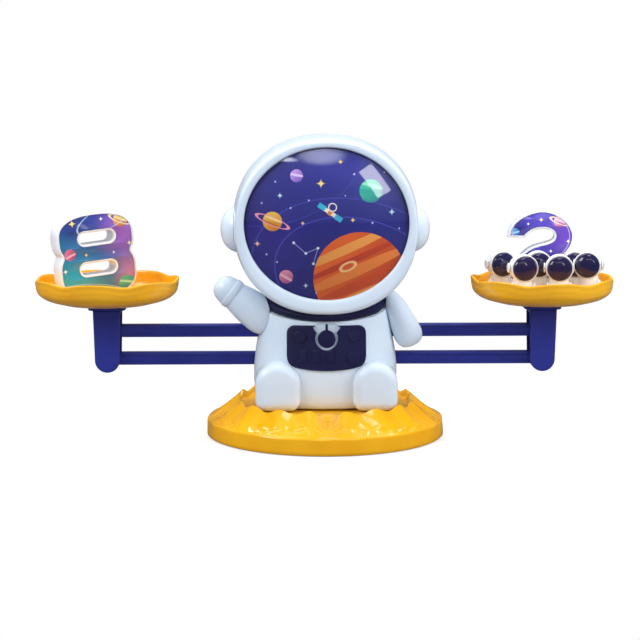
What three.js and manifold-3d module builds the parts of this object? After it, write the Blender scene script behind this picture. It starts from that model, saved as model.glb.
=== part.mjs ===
// A counting balance game. A seated space-suited figure stands in a crater-like base and carries two level
// beams, one above the other. A post joins the beams' ends on each side and holds up a wavy tray, so the
// trays stay level while the beams tip. A number block stands in one tray, a smaller number and six counters
// in the other. Millimetres, +Z up, the front faces -Y, and the origin is on the table under the base.

import * as THREE from 'three';
import Module from 'manifold-3d';
import { mergeVertices } from 'three/addons/utils/BufferGeometryUtils.js';

const wasm = await Module();
wasm.setup();

// Fits shared by all pieces
const overrun = 6;
const seam = 0.3;
const pressGap = 0.06;
const runningGap = 0.1;
const sideGap = 0.4;
const finest = 0.01;

// Base
const baseRadius = 82;
const baseWallHeight = 10.6;
const baseEdgeRound = 1.4;
const baseShell = 2.4;
const rimRadius = 62;
const rimSquareness = 2;
const rimHeight = 25.2;
const rimWaveHeight = 1.5;
const notchDepth = 7.8;
const craterFloorHeight = 21.5;
const craterFloorInset = 3.2;
const foldHeight = 1.3;
const foldCount = 13;
const terraceHeight = 0.9;
const terraceCount = 3;
const terraceFocus = 6;
const slopeBend = 1.1;
const footRadius = 6;
const footThickness = 2;
const footPadRadius = 7;
const footCircleInset = 13;
const baseRibThickness = 1.8;
const baseRibBottom = 5;
const baseBossRadius = 4.6;
const baseBossBottom = 8;
const baseHubRadius = 9.2;
const baseLift = 0.5;

// Screws
const screwRadius = 1.5;
const screwHeadRadius = 2.7;
const screwHeadHeight = 1.9;
const screwFloor = 2.4;
const screwLength = 14;
const screwBossRadius = 3.6;

// Body, a pear seated in the crater
const bodyWidth = 99;
const bodyDepth = 76;
const bodyHeight = 80;
const bodyWall = 2.4;
const neckDrop = 10.3;
const neckTiltDegrees = 15;
const neckRadius = 24;
const neckRise = 9;
const legWidth = 30.6;
const legHeight = 35;
const legSpacing = 66;
const legFront = 43;
const legRound = 5.5;
const legRoot = 16;
const bodyScrewHeight = 31;
const bodyScrewSpacing = 58;

// Linkage
const upperBeamDrop = 19.3;
const beamSpacing = 19.3;
const beamHalfLength = 150;
const beamTall = 8.5;
const beamThick = 8;
const beamLip = 1.5;
const beamRecess = 1.1;
const beamRecessEnd = 5;
const pinDrop = 1.2;
const tipDegrees = 10;
const hubRadius = 7;
const hubWidth = 10.4;
const axleRadius = 2.5;
const upperAxleBack = 28;
const lowerAxleReach = 26;
const axleBossRadius = 5;
const slotWidth = 11;
const pinRadius = 1.5;

// Posts
const postTopWidth = 18.8;
const postBottomWidth = 17;
const postDepth = 20;
const postWall = 2.3;
const postFootDrop = 8.9;
const flangeRise = 17.1;
const flangeThickness = 2.2;
const flangeWidth = 25.5;
const flangeDepth = 22;
const flangeCorner = 5;
const spigotWidth = 9;
const spigotDepth = 8;
const spigotLength = 5.5;
const pinBlindDepth = 1.3;

// Trays
const trayRadius = 49;
const trayHeight = 18.9;
const trayRimWave = 1.3;
const trayPlanWave = 0.9;
const trayWall = 2.3;
const trayFloor = 3.4;
const traySeatRadius = 12.4;
const trayFloorRadius = 36;
const trayWaves = 7;
const trayRimWavePhase = 1.1;
const trayPlanWavePhase = 2.3;
const trayWaveGrowth = 1.5;
const trayFloorSlope = 0.55;

// Chest panel and pointer
const panelWidth = 53.6;
const panelDrop = 11.5;
const panelSide = 26.6;
const panelBelly = 3.8;
const panelCorner = 5.6;
const panelThickness = 1.4;
const panelRelief = 0.5;
const dialRadius = 7.65;
const dialFloor = 34.2;
const dialBackMargin = 3.6;
const fanRadius = 11.9;
const fanDegrees = 51;
const pointerRadius = 6;
const pointerFront = 38.2;
const pointerSocket = 1.6;
const needleWidth = 1.7;
const needleLength = 3.4;

// Collar
const collarWidth = 85;
const collarDepth = 75;
const collarThickness = 6;
const collarBand = 8;

// Arms. Each arm's ends are given sideways and up from the neck.
const armDepthShare = 0.88;
const armCentre = 9;
const raisedShoulderFromNeck = new THREE.Vector2(-36.2, -14.1);
const raisedHandFromNeck = new THREE.Vector2(-74.4, 15.3);
const raisedShoulderRadius = 12.7;
const raisedWristRadius = 9.7;
const cuffRise = 0.55;
const loweredShoulderFromNeck = new THREE.Vector2(43.7, 7.7);
const loweredHandFromNeck = new THREE.Vector2(60.4, -28.9);
const loweredArmRadius = 9.8;
const armRootGap = 0.5;

// Helmet
const helmetRise = 54.5;
const helmetHalfWidth = 61.5;
const helmetHalfHeight = 61;
const helmetBack = 48;
const helmetBelt = 6;
const helmetFront = 40.4;
const helmetWall = 2.4;
const bezelRound = 2.6;
const bezelTaper = 2.2;
const openingHalfWidth = 55.7;
const openingHalfHeight = 51;
const openingRise = 2.7;
const lensBulge = 9;
const lensInset = 1.2;
const lensThickness = 1.8;
const printThickness = 1.2;
const podRadius = 16.4;
const podDrop = 3.7;
const podReach = 71.8;
const podDome = 9.6;
const helmetBossRadius = 3.6;
const helmetBossLength = 18;
const helmetScrewSpacing = 84;
const helmetScrewDrop = 20;

// Numbers
const numberThickness = 15;
const numberWall = 2.2;
const numberBevel = 1.1;
const faceThickness = 1.2;
const faceBorder = 1.9;
const numberHeight = 60;
const eightUpperWidth = 56;
const eightLowerWidth = 58;
const eightUpperTall = 33;
const eightLowerTall = 36;
const eightWaistWidth = 50.5;
const lobeSquareness = 2.5;
const eightSlotWidth = 27.5;
const eightSlotTall = 9.6;
const eightTurnDegrees = 26;
const eightLeanDegrees = 5;
const eightX = -7.7;
const eightY = 8;
const eightLift = 1.1;
const weightThickness = 8.5;
const weightInset = 4.4;
const twoWidth = 48.2;
const twoStroke = 14;
const twoBowlHeight = 40.8;
const twoTurnDegrees = -6;
const twoX = 2.2;
const twoY = 25;
const twoLift = 1.7;

// Counters
const counterHeadRadius = 9.4;
const counterHeadHeight = 23.4;
const counterVisorRadius = 8.4;
const counterVisorBulge = 4.6;
const counterBodyRadius = 7.6;
const counterFootRadius = 5.2;
const counterArmRadius = 2.5;
const counterArmReach = 7.5;
const counterArmHeight = 12;
const counterEarRadius = 3.4;
const counterEarReach = 10.3;

// Smoothness of round forms
const baseSides = 72;
const craterRows = 6;
const bodySides = 32;
const traySides = 35;
const helmetSides = 32;
const dialSides = 16;
const domeRows = 3;
const pinSides = 14;
const armSides = 14;
const smallSides = 8;
const counterSides = 10;
const counterRows = 8;
const counterArmSides = 6;
const counterArmRows = 4;
const lobeSides = 20;
const twoSteps = 20;

// Places that follow from the sizes above
const degree = Math.PI / 180;
const footCircleRadius = baseRadius - footCircleInset;
const bodyBottom = craterFloorHeight + seam;
const neckTilt = neckTiltDegrees * degree;
const neckHeight = bodyBottom + bodyHeight - neckDrop;
const panelTop = neckHeight - panelDrop;
const upperBeamHeight = neckHeight - upperBeamDrop;
const lowerBeamHeight = upperBeamHeight - beamSpacing;
const upperPivot = upperBeamHeight;
const lowerPivot = lowerBeamHeight;
const upperPinHeight = upperBeamHeight - pinDrop;
const lowerPinHeight = lowerBeamHeight - pinDrop;
const beamSwing = (bodyWidth / 2) * Math.sin(tipDegrees * degree) + beamTall / 2 + sideGap;
const postBottomHeight = lowerBeamHeight - postFootDrop;
const flangeTopHeight = upperBeamHeight + flangeRise;
const trayBase = flangeTopHeight + seam;
const aboveNeckHeight = place => new THREE.Vector2(place.x, neckHeight + place.y);
const raisedShoulder = aboveNeckHeight(raisedShoulderFromNeck);
const raisedHand = aboveNeckHeight(raisedHandFromNeck);
const loweredShoulder = aboveNeckHeight(loweredShoulderFromNeck);
const loweredHand = aboveNeckHeight(loweredHandFromNeck);
const helmetHeight = neckHeight + helmetRise;
const openingHeight = helmetHeight + openingRise;
const podHeight = helmetHeight - podDrop;
const helmetScrewHeight = helmetHeight - helmetScrewDrop;

const plastic = (color, roughness = 0.28) =>
  new THREE.MeshStandardMaterial({ color, roughness, metalness: 0 });
const yellow = plastic(0xf5b31f);
const paleBlue = plastic(0xcfe0ec);
const navy = plastic(0x2e3175);
const darkNavy = plastic(0x26264e);
const printBlue = plastic(0x2b2d86, 0.35);
const eightPrint = plastic(0x2a72b5, 0.35);
const twoPrint = plastic(0x5a3db0, 0.35);
const white = plastic(0xeef4fa);
const clear = new THREE.MeshStandardMaterial({
  color: 0xdde6ff,
  roughness: 0.05,
  transparent: true,
  opacity: 0.25,
});
const rubber = new THREE.MeshStandardMaterial({ color: 0x2a2a2c, roughness: 0.8 });
const steel = new THREE.MeshStandardMaterial({ color: 0xb4b6ba, roughness: 0.35, metalness: 1 });

// Solids

// A closed geometry as a solid that can be cut and joined, its faces turned outwards.
function solid(geometry) {
  const bare = geometry.clone();
  bare.deleteAttribute('normal');
  bare.deleteAttribute('uv');
  const merged = mergeVertices(bare, finest);
  const places = merged.attributes.position.array;
  const corners = merged.index.array;
  const faces = [];
  let volume = 0;
  const point = index => new THREE.Vector3().fromArray(places, index * 3);
  for (let i = 0; i < corners.length; i += 3) {
    const [a, b, c] = corners.slice(i, i + 3);
    if (a === b || b === c || c === a) continue;
    faces.push([a, b, c]);
    volume += point(a).dot(point(b).cross(point(c)));
  }
  const outward = volume > 0 ? faces : faces.map(([a, b, c]) => [a, c, b]);
  const mesh = new wasm.Mesh({
    numProp: 3,
    vertProperties: Float32Array.from(places),
    triVerts: Uint32Array.from(outward.flat()),
  });
  return new wasm.Manifold(mesh);
}

const join = solids => solids.reduce((sum, next) => sum.add(next));
const cut = (body, cutters) => cutters.reduce((rest, next) => rest.subtract(next), body);

function piece(name, body, material) {
  const result = body.getMesh();
  const geometry = new THREE.BufferGeometry();
  geometry.setAttribute('position', new THREE.BufferAttribute(result.vertProperties, 3));
  geometry.setIndex(new THREE.BufferAttribute(result.triVerts, 1));
  geometry.computeVertexNormals();
  const mesh = new THREE.Mesh(geometry, material);
  mesh.name = name;
  return mesh;
}

// A profile of [radius, height] points turned about the Z axis. The angle runs from the front towards +X.
function turned(profile, sides, reshape) {
  const points = profile.map(([radius, height]) => new THREE.Vector2(radius, height));
  const geometry = new THREE.LatheGeometry(points, sides);
  geometry.rotateX(Math.PI / 2);
  if (reshape) {
    const place = geometry.attributes.position;
    const point = new THREE.Vector3();
    for (let i = 0; i < place.count; i++) {
      point.fromBufferAttribute(place, i);
      reshape(point, Math.atan2(point.x, -point.y), Math.hypot(point.x, point.y));
      place.setXYZ(i, point.x, point.y, point.z);
    }
  }
  return geometry;
}

// A geometry whose axis is Z laid down so that its top faces the front.
const laidForward = geometry => geometry.rotateX(Math.PI / 2);

// An outline with its repeated points left out, so that every edge has a length.
function tidy(shape, curveSegments) {
  const points = shape.getPoints(curveSegments);
  const next = i => points[(i + 1) % points.length];
  return new THREE.Shape(points.filter((point, i) => point.distanceTo(next(i)) > finest));
}

// An outline in the X-Z plane, pushed from frontY back to backY.
function plate(shape, frontY, backY, bevel = 0, curveSegments = 5) {
  const geometry = new THREE.ExtrudeGeometry(tidy(shape, curveSegments), {
    depth: backY - frontY - 2 * bevel,
    bevelEnabled: bevel > 0,
    bevelThickness: bevel,
    bevelSize: bevel,
    bevelOffset: -bevel,
    bevelSegments: bevel > numberBevel ? 2 : 1,
  });
  geometry.translate(0, 0, bevel);
  laidForward(geometry);
  return geometry.translate(0, backY, 0);
}

function box(low, high) {
  const size = high.map((value, axis) => value - low[axis]);
  const middle = high.map((value, axis) => (value + low[axis]) / 2);
  return new THREE.BoxGeometry(...size).translate(...middle);
}

// Round bars along each axis
const rodY = (radius, frontY, backY, x, z, sides = pinSides) =>
  new THREE.CylinderGeometry(radius, radius, backY - frontY, sides).translate(x, (frontY + backY) / 2, z);
const rodZ = (radius, low, high, x, y, sides = pinSides) =>
  new THREE.CylinderGeometry(radius, radius, high - low, sides)
    .rotateX(Math.PI / 2)
    .translate(x, y, (low + high) / 2);

function roundedRectangle(width, height, corner, x = 0, y = 0) {
  const shape = new THREE.Shape();
  const right = x + width / 2 - corner;
  const left = x - width / 2 + corner;
  const top = y + height / 2 - corner;
  const bottom = y - height / 2 + corner;
  shape.absarc(right, top, corner, 0, Math.PI / 2);
  shape.absarc(left, top, corner, Math.PI / 2, Math.PI);
  shape.absarc(left, bottom, corner, Math.PI, Math.PI * 1.5);
  shape.absarc(right, bottom, corner, Math.PI * 1.5, Math.PI * 2);
  return shape;
}

// Everything in front of or behind the plane where two shells meet.
const farAway = 4 * baseRadius;
const frontHalf = parting =>
  solid(box([-farAway, -farAway, -farAway], [farAway, parting - seam / 2, farAway]));
const backHalf = parting =>
  solid(box([-farAway, parting + seam / 2, -farAway], [farAway, farAway, farAway]));

// Everything above the tilted plane that the collar lies on, raised by an amount along the neck.
function aboveNeck(rise) {
  const block = box([-farAway, -farAway, rise], [farAway, farAway, farAway]);
  return solid(block.rotateX(neckTilt).translate(0, 0, neckHeight));
}

// Screws. The head sits at the end that the screw enters from, and the shank points along +Z.
const screwGeometry = () =>
  turned([[0, 0], [screwHeadRadius, 0], [screwHeadRadius, screwHeadHeight], [screwRadius, screwHeadHeight],
    [screwRadius, screwLength], [0, screwLength]], smallSides);

// Base: a shell with a wavy crater rim, stiffened underneath

const rimWaves = 18;
const notchShare = 0.12;
const rimCorners = 4;
const rimRadiusAt = angle => rimRadius - rimSquareness * Math.cos(rimCorners * angle);

function rimHeightAt(angle) {
  const notch = notchDepth * Math.exp(-((angle / notchShare) ** 2));
  return rimHeight - rimWaveHeight * Math.cos(rimWaves * angle) - notch;
}

// The height of the slope, share 0 at the wall and 1 at the crater's rim.
function slopeHeight(share, angle) {
  const bottom = baseWallHeight + baseEdgeRound;
  const ground = bottom + (rimHeightAt(angle) - bottom) * share ** slopeBend;
  const across = Math.sin(Math.PI * share);
  const folds = foldHeight * across * Math.cos(foldCount * angle);
  const terraces = terraceHeight * across * Math.sin(2 * Math.PI * terraceCount * share);
  const frontward = Math.max(0, Math.cos(angle)) ** terraceFocus;
  return ground + folds * (1 - frontward) + terraces * frontward;
}

function baseOuter() {
  const rows = Array.from({ length: craterRows }, (_, i) => (i + 1) / craterRows);
  const profile = [
    [0, baseLift],
    [baseRadius, baseLift],
    [baseRadius, baseWallHeight],
    [baseRadius - baseEdgeRound, baseWallHeight + baseEdgeRound],
    ...rows.map(share => [baseRadius - baseEdgeRound - share, baseRadius + share]),
    [rimRadius - craterFloorInset, craterFloorHeight],
    [0, craterFloorHeight],
  ];
  return turned(profile, baseSides, (point, angle, radius) => {
    if (point.z > baseRadius) {
      const share = point.z - baseRadius;
      const outer = baseRadius - baseEdgeRound;
      const reach = outer + (rimRadiusAt(angle) - outer) * share;
      point.set(reach * Math.sin(angle), -reach * Math.cos(angle), slopeHeight(share, angle));
    } else if (point.z === craterFloorHeight && radius > 0) {
      const reach = rimRadiusAt(angle) - craterFloorInset;
      point.x = reach * Math.sin(angle);
      point.y = -reach * Math.cos(angle);
    }
  });
}

// The hollow under the shell as [radius, height], grown by an amount for what reaches into the shell.
function hollowProfile(grow) {
  return [
    [baseRadius - baseShell + grow, baseWallHeight - baseShell + grow],
    [rimRadius - baseShell * 2 + grow, rimHeight - notchDepth - baseShell * 2 + grow],
    [rimRadius - craterFloorInset * 3 + grow, craterFloorHeight - baseShell + grow],
  ];
}

const footPlaces = [45, 135, 225, 315].map(turn => [
  footCircleRadius * Math.sin(turn * degree),
  -footCircleRadius * Math.cos(turn * degree),
]);
const baseScrewShares = [[-0.2424, -0.2368], [0.2424, -0.2368], [0, 0.3158]];
const baseScrewPlaces = baseScrewShares.map(([x, y]) => [x * bodyWidth, y * bodyDepth]);

function baseShellSolid() {
  const ceiling = craterFloorHeight - baseShell;
  const hollow = turned([
    [0, -overrun],
    [baseRadius - baseShell, -overrun],
    ...hollowProfile(0),
    [0, ceiling],
  ], baseSides / 2);
  const shell = cut(solid(baseOuter()), [solid(hollow)]);
  const reach = baseShell / 2;
  const [wallTop, slopeTop, floorTop] = hollowProfile(reach);
  const ribShape = new THREE.Shape([
    new THREE.Vector2(baseBossRadius, baseRibBottom),
    new THREE.Vector2(wallTop[0], baseRibBottom),
    new THREE.Vector2(...wallTop),
    new THREE.Vector2(...slopeTop),
    new THREE.Vector2(...floorTop),
    new THREE.Vector2(baseBossRadius, floorTop[1]),
  ]);
  const ribs = [0, 90, 180, 270].map(turn =>
    solid(plate(ribShape, -baseRibThickness / 2, baseRibThickness / 2).rotateZ(turn * degree)));
  const hubBoss = solid(rodZ(baseHubRadius, baseRibBottom, ceiling + reach, 0, 0));
  const pads = footPlaces.map(([x, y]) => solid(rodZ(footPadRadius, footThickness, baseWallHeight, x, y)));
  const bosses = baseScrewPlaces.map(([x, y]) =>
    solid(rodZ(baseBossRadius, baseBossBottom, ceiling + reach, x, y)));
  const shanks = baseScrewPlaces.map(([x, y]) =>
    solid(rodZ(screwRadius + runningGap, 0, craterFloorHeight + overrun, x, y, smallSides)));
  const heads = baseScrewPlaces.map(([x, y]) =>
    solid(rodZ(screwHeadRadius + runningGap, 0, ceiling - screwFloor, x, y, smallSides)));
  return cut(join([shell, ...ribs, hubBoss, ...pads, ...bosses]), [...shanks, ...heads]);
}

// Body

// Half width and height of the pear's outline, as shares of the largest half width and the height.
const pearShares = [[0, 0], [0.885, 0], [0.945, 0.04], [0.985, 0.12], [1, 0.3], [0.975, 0.47], [0.93, 0.62],
  [0.885, 0.78], [0.82, 0.92], [0.7, 1], [0, 1]];
const pearSquareness = 2.35;

function pear(inset, sides) {
  return turned(pearShares, sides, (point, angle) => {
    const sine = Math.abs(Math.sin(angle)) ** pearSquareness;
    const cosine = Math.abs(Math.cos(angle)) ** pearSquareness;
    const stretch = (sine + cosine) ** (-1 / pearSquareness);
    point.x *= stretch * (bodyWidth / 2 - inset);
    point.y *= stretch * (bodyDepth / 2 - inset);
    point.z = bodyBottom + inset + point.z * (bodyHeight - 2 * inset);
  });
}

// A leg's sole seen from the front: an arch on a nearly flat foot.
function legOutline(x, inset) {
  const half = legWidth / 2 - inset;
  const low = bodyBottom + (inset > 0 ? inset + seam : 0);
  const high = bodyBottom + legHeight - inset;
  const corner = half / 2;
  const shape = new THREE.Shape();
  shape.moveTo(x - half + corner, low);
  shape.lineTo(x + half - corner, low);
  shape.quadraticCurveTo(x + half, low, x + half, low + corner);
  shape.lineTo(x + half, high - half);
  shape.absellipse(x, high - half, half, half, 0, Math.PI);
  shape.lineTo(x - half, low + corner);
  shape.quadraticCurveTo(x - half, low, x - half + corner, low);
  return shape;
}

const legPlaces = [-legSpacing / 2, legSpacing / 2];

function legs(inset) {
  return legPlaces.map(x => {
    const round = inset > 0 ? 0 : legRound;
    return solid(plate(legOutline(x, inset), -legFront + inset, -legRoot, round, 5));
  });
}

const neckTube = (radius, low, high, sides) =>
  solid(rodZ(radius, low, high, 0, 0, sides).rotateX(neckTilt).translate(0, 0, neckHeight));

// The way that the beams take through the body as they tip.
const beamWay = () => solid(box([-bodyWidth, -slotWidth / 2, lowerPivot - beamSwing],
  [bodyWidth, slotWidth / 2, upperPivot + beamSwing]));

function bodyShell() {
  const outer = cut(join([solid(pear(0, bodySides)), ...legs(0)]), [aboveNeck(0)]);
  const inner = cut(join([solid(pear(bodyWall, bodySides / 2)), ...legs(bodyWall)]), [aboveNeck(-bodyWall)]);
  const neck = neckTube(neckRadius, -bodyWall / 2, neckRise, bodySides / 2);
  const neckBore = neckTube(neckRadius - bodyWall, -overrun, neckRise + overrun, pinSides);
  return cut(cut(outer, [inner]).add(neck), [neckBore, beamWay()]);
}

// The window under the pointer: a round dial with a fan above it, open to the panel's top edge.
function dialWindow(frontY, backY, grow) {
  const dial = solid(rodY(dialRadius + grow, frontY, backY, 0, upperPivot, dialSides));
  const fan = new THREE.Shape();
  const reach = fanRadius + grow;
  const root = dialRadius - seam;
  const across = Math.sin(fanDegrees * degree);
  const up = Math.cos(fanDegrees * degree);
  fan.moveTo(-root * across, upperPivot + root * up);
  fan.lineTo(root * across, upperPivot + root * up);
  fan.lineTo(reach * across, upperPivot + reach * up);
  fan.absarc(0, upperPivot, reach, Math.PI / 2 - fanDegrees * degree, Math.PI / 2 + fanDegrees * degree);
  return dial.add(solid(plate(fan, frontY, backY)));
}

const bodyScrewPlaces = [-bodyScrewSpacing / 2, bodyScrewSpacing / 2];

function bodyFrontSolid(shell) {
  const half = shell.intersect(frontHalf(0));
  const inside = hubWidth / 2 + sideGap;
  const discRadius = fanRadius + dialBackMargin;
  const behindDial = solid(rodY(discRadius, -dialFloor, -dialFloor + bodyWall, 0, upperPivot, dialSides));
  const frontBoss = cut(behindDial.intersect(solid(pear(seam, bodySides))), [aboveNeck(-seam)]);
  const upperBoss = solid(rodY(axleBossRadius, -dialFloor, -inside, 0, upperPivot));
  const lowerBoss = solid(rodY(axleBossRadius, -bodyDepth / 2 + bodyWall, -inside, 0, lowerPivot));
  const screwBosses = bodyScrewPlaces.map(x =>
    solid(rodY(screwBossRadius, -legFront + bodyWall / 2, -slotWidth / 2, x, bodyScrewHeight)));
  const footBosses = baseScrewPlaces.slice(0, 2).map(([x, y]) =>
    solid(rodZ(screwBossRadius, bodyBottom, bodyBottom + screwLength, x, y)));
  const window = dialWindow(-bodyDepth, -dialFloor, 0);
  const upperBore = solid(rodY(axleRadius + runningGap, -bodyDepth, 0, 0, upperPivot));
  const lowerBore = solid(rodY(axleRadius + pressGap, -lowerAxleReach - seam, 0, 0, lowerPivot));
  const screwHoles = bodyScrewPlaces.map(x =>
    solid(rodY(screwRadius + pressGap, -screwLength, 0, x, bodyScrewHeight, smallSides)));
  const footHoles = baseScrewPlaces.slice(0, 2).map(([x, y]) =>
    solid(rodZ(screwRadius + pressGap, -overrun, bodyBottom + screwLength - bodyWall, x, y, smallSides)));
  return cut(join([half, frontBoss, upperBoss, lowerBoss, ...screwBosses, ...footBosses]),
    [window, upperBore, lowerBore, ...screwHoles, ...footHoles]);
}

function bodyBackSolid(shell) {
  const half = shell.intersect(backHalf(0));
  const inside = hubWidth / 2 + sideGap;
  const bosses = [upperPivot, lowerPivot].map(z =>
    solid(rodY(axleBossRadius, inside, bodyDepth / 2 - bodyWall, 0, z)));
  const screwBosses = bodyScrewPlaces.map(x =>
    solid(rodY(screwBossRadius + bodyWall / 2, slotWidth / 2, bodyDepth / 2, x, bodyScrewHeight))
      .intersect(solid(pear(bodyWall / 2, bodySides))));
  const footBoss = baseScrewPlaces.slice(2).map(([x, y]) =>
    solid(rodZ(screwBossRadius, bodyBottom, bodyBottom + screwLength, x, y)));
  const upperBore = solid(rodY(axleRadius + runningGap, 0, upperAxleBack + seam, 0, upperPivot));
  const lowerBore = solid(rodY(axleRadius + pressGap, 0, lowerAxleReach + seam, 0, lowerPivot));
  const shanks = bodyScrewPlaces.map(x =>
    solid(rodY(screwRadius + runningGap, 0, bodyDepth, x, bodyScrewHeight, smallSides)));
  const seat = slotWidth / 2 + screwFloor;
  const heads = bodyScrewPlaces.map(x =>
    solid(rodY(screwHeadRadius + runningGap, seat, bodyDepth, x, bodyScrewHeight, smallSides)));
  const footHole = baseScrewPlaces.slice(2).map(([x, y]) =>
    solid(rodZ(screwRadius + pressGap, -overrun, bodyBottom + screwLength - bodyWall, x, y, smallSides)));
  return cut(join([half, ...bosses, ...screwBosses, ...footBoss]),
    [upperBore, lowerBore, ...shanks, ...heads, ...footHole]);
}

// Chest panel, bent to the body's front, with low relief buttons
function panelOutline() {
  const half = panelWidth / 2;
  const bottom = panelTop - panelSide;
  const shape = new THREE.Shape();
  shape.moveTo(-half + panelCorner, panelTop);
  shape.quadraticCurveTo(-half, panelTop, -half, panelTop - panelCorner);
  shape.lineTo(-half, bottom + panelCorner);
  shape.quadraticCurveTo(-half, bottom + panelBelly / 2, -half + panelCorner, bottom);
  shape.quadraticCurveTo(0, bottom - 2 * panelBelly, half - panelCorner, bottom);
  shape.quadraticCurveTo(half, bottom + panelBelly / 2, half, bottom + panelCorner);
  shape.lineTo(half, panelTop - panelCorner);
  shape.quadraticCurveTo(half, panelTop, half - panelCorner, panelTop);
  return shape;
}

// Middles of the relief shapes as shares of the panel's half width and height, and their sizes as shares too.
const buttonShares = [[-0.67, 0.24, 0.163], [0.7, 0.23, 0.163], [0.68, 0.71, 0.163]];
const barShares = [[-0.6, 0.67], [-0.27, 0.67], [0.09, 0.67]];
const barWidthShare = 0.19;
const barHeightShare = 0.26;

function panelSolid() {
  const depth = [-bodyDepth, -bodyDepth / 4];
  const skin = offset => solid(pear(-offset, bodySides));
  const half = panelWidth / 2;
  const tall = panelSide + panelBelly;
  const buttons = buttonShares.map(([across, down, size]) =>
    solid(rodY(size * half, ...depth, across * half, panelTop - down * tall, smallSides)));
  const bars = barShares.map(([across, down]) =>
    solid(plate(roundedRectangle(barWidthShare * half, barHeightShare * tall, panelRelief,
      across * half, panelTop - down * tall), ...depth, 0, 1)));
  const face = solid(plate(panelOutline(), ...depth)).intersect(skin(panelThickness));
  const relief = join([...buttons, ...bars]).intersect(skin(panelThickness + panelRelief));
  const window = dialWindow(...depth, 0);
  return cut(face.add(relief), [skin(seam / 2), window, ...legs(-seam)]);
}

function pointerSolid() {
  const back = -dialFloor - seam;
  const disc = solid(rodY(pointerRadius, -pointerFront, back, 0, upperPivot, dialSides));
  const needle = solid(box([-needleWidth / 2, -pointerFront, upperPivot],
    [needleWidth / 2, back, upperPivot + pointerRadius + needleLength]));
  const socket = solid(rodY(axleRadius + pressGap, back - pointerSocket, 0, 0, upperPivot));
  return cut(disc.add(needle), [socket]);
}

// Collar
function collarSolid() {
  const round = collarThickness / 2;
  const rows = 4;
  const bulge = Array.from({ length: rows + 1 }, (_, i) => (i / rows) * Math.PI - Math.PI / 2);
  const outer = collarWidth / 2;
  const profile = [
    [outer - collarBand, seam],
    ...bulge.map(a => [outer - round + round * Math.cos(a), round + seam + (round - seam) * Math.sin(a)]),
    [outer - collarBand, collarThickness],
    [outer - collarBand, seam],
  ];
  const ring = turned(profile, bodySides, point => {
    point.y *= collarDepth / collarWidth;
  });
  return solid(ring.rotateX(neckTilt).translate(0, 0, neckHeight));
}

// Arms, turned about their own length and flattened from front to back

// Radius and place along the arm as shares, from the shoulder to the fingertips. Shares over the wrist's are
// the cuff and the mitten.
const raisedArmShares = [[0, 0], [0.8, 0.02], [1, 0.16], [0.97, 0.4], [0.86, 0.58]];
const handShares = [[0.97, 0.82], [0.88, 0.89], [0.66, 0.955], [0.36, 0.99], [0, 1]];
const cuffStartShare = 0.685;
const cuffEndShare = 0.77;
const loweredArmShares = [[0, 0], [0.4, 0.03], [0.68, 0.2], [0.85, 0.44], [0.95, 0.62], [1, 0.78],
  [0.92, 0.88], [0.7, 0.955], [0.4, 0.99], [0, 1]];

function arm(profile, shoulder, hand) {
  const along = hand.clone().sub(shoulder);
  const geometry = turned(profile, armSides, point => {
    point.y *= armDepthShare;
  });
  geometry.rotateY(Math.atan2(along.x, along.y));
  return solid(geometry.translate(shoulder.x, -armCentre, shoulder.y));
}

function raisedArmSolid() {
  const length = raisedHand.distanceTo(raisedShoulder);
  const cuff = raisedWristRadius + cuffRise;
  const profile = [
    ...raisedArmShares.map(([radius, place]) => [radius * raisedShoulderRadius, place * length]),
    [raisedWristRadius, cuffStartShare * length - cuffRise],
    [cuff, cuffStartShare * length],
    [cuff, cuffEndShare * length],
    [raisedWristRadius, cuffEndShare * length + cuffRise],
    ...handShares.map(([radius, place]) => [radius * raisedWristRadius, place * length]),
  ];
  return arm(profile, raisedShoulder, raisedHand);
}

function loweredArmSolid() {
  const length = loweredHand.distanceTo(loweredShoulder);
  const profile = loweredArmShares.map(([radius, place]) => [radius * loweredArmRadius, place * length]);
  return arm(profile, loweredShoulder, loweredHand);
}

// An arm trimmed where it meets the body, the collar and the helmet, and flat behind so that the beams pass.
function trimmedArm(body) {
  const reach = collarWidth / 2 + armRootGap;
  const collarRoom = rodZ(reach, -seam, bodyHeight, 0, 0, bodySides).scale(1, collarDepth / collarWidth, 1);
  collarRoom.rotateX(neckTilt).translate(0, 0, neckHeight);
  const behind = box([-farAway, -slotWidth / 2, 0], [farAway, farAway, farAway]);
  return cut(body, [solid(pear(-seam, bodySides)), solid(collarRoom), helmetSolid(-seam), solid(behind)]);
}

// Helmet. Its forms are turned about a level axis. A profile is [share of the half width, forward distance].
function helmetForm(profile, halfWidth, halfHeight, centre = helmetHeight, sides = helmetSides) {
  const geometry = turned(profile, sides, point => {
    point.x *= halfWidth;
    point.y *= halfHeight;
  });
  return laidForward(geometry).translate(0, 0, centre);
}

function helmetProfile(inset) {
  const dome = Array.from({ length: domeRows + 2 }, (_, i) => (i / (domeRows + 1)) * Math.PI / 2);
  const back = helmetBack - helmetBelt;
  const share = reach => (reach - inset) / (helmetHalfWidth - inset);
  const front = helmetFront - inset;
  return [
    ...dome.map(a => [Math.sin(a), -helmetBelt - (back - inset) * Math.cos(a)]),
    [share(helmetHalfWidth - bezelTaper / 3), front / 2],
    [share(helmetHalfWidth - bezelTaper), front - bezelRound],
    [share(helmetHalfWidth - bezelTaper - bezelRound / 3), front - bezelRound / 3],
    [share(helmetHalfWidth - bezelTaper - bezelRound), front],
    [0, front],
  ];
}

const helmetSolid = inset =>
  solid(helmetForm(helmetProfile(inset), helmetHalfWidth - inset, helmetHalfHeight - inset));

const helmetScrewPlaces = [-helmetScrewSpacing / 2, helmetScrewSpacing / 2];

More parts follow.
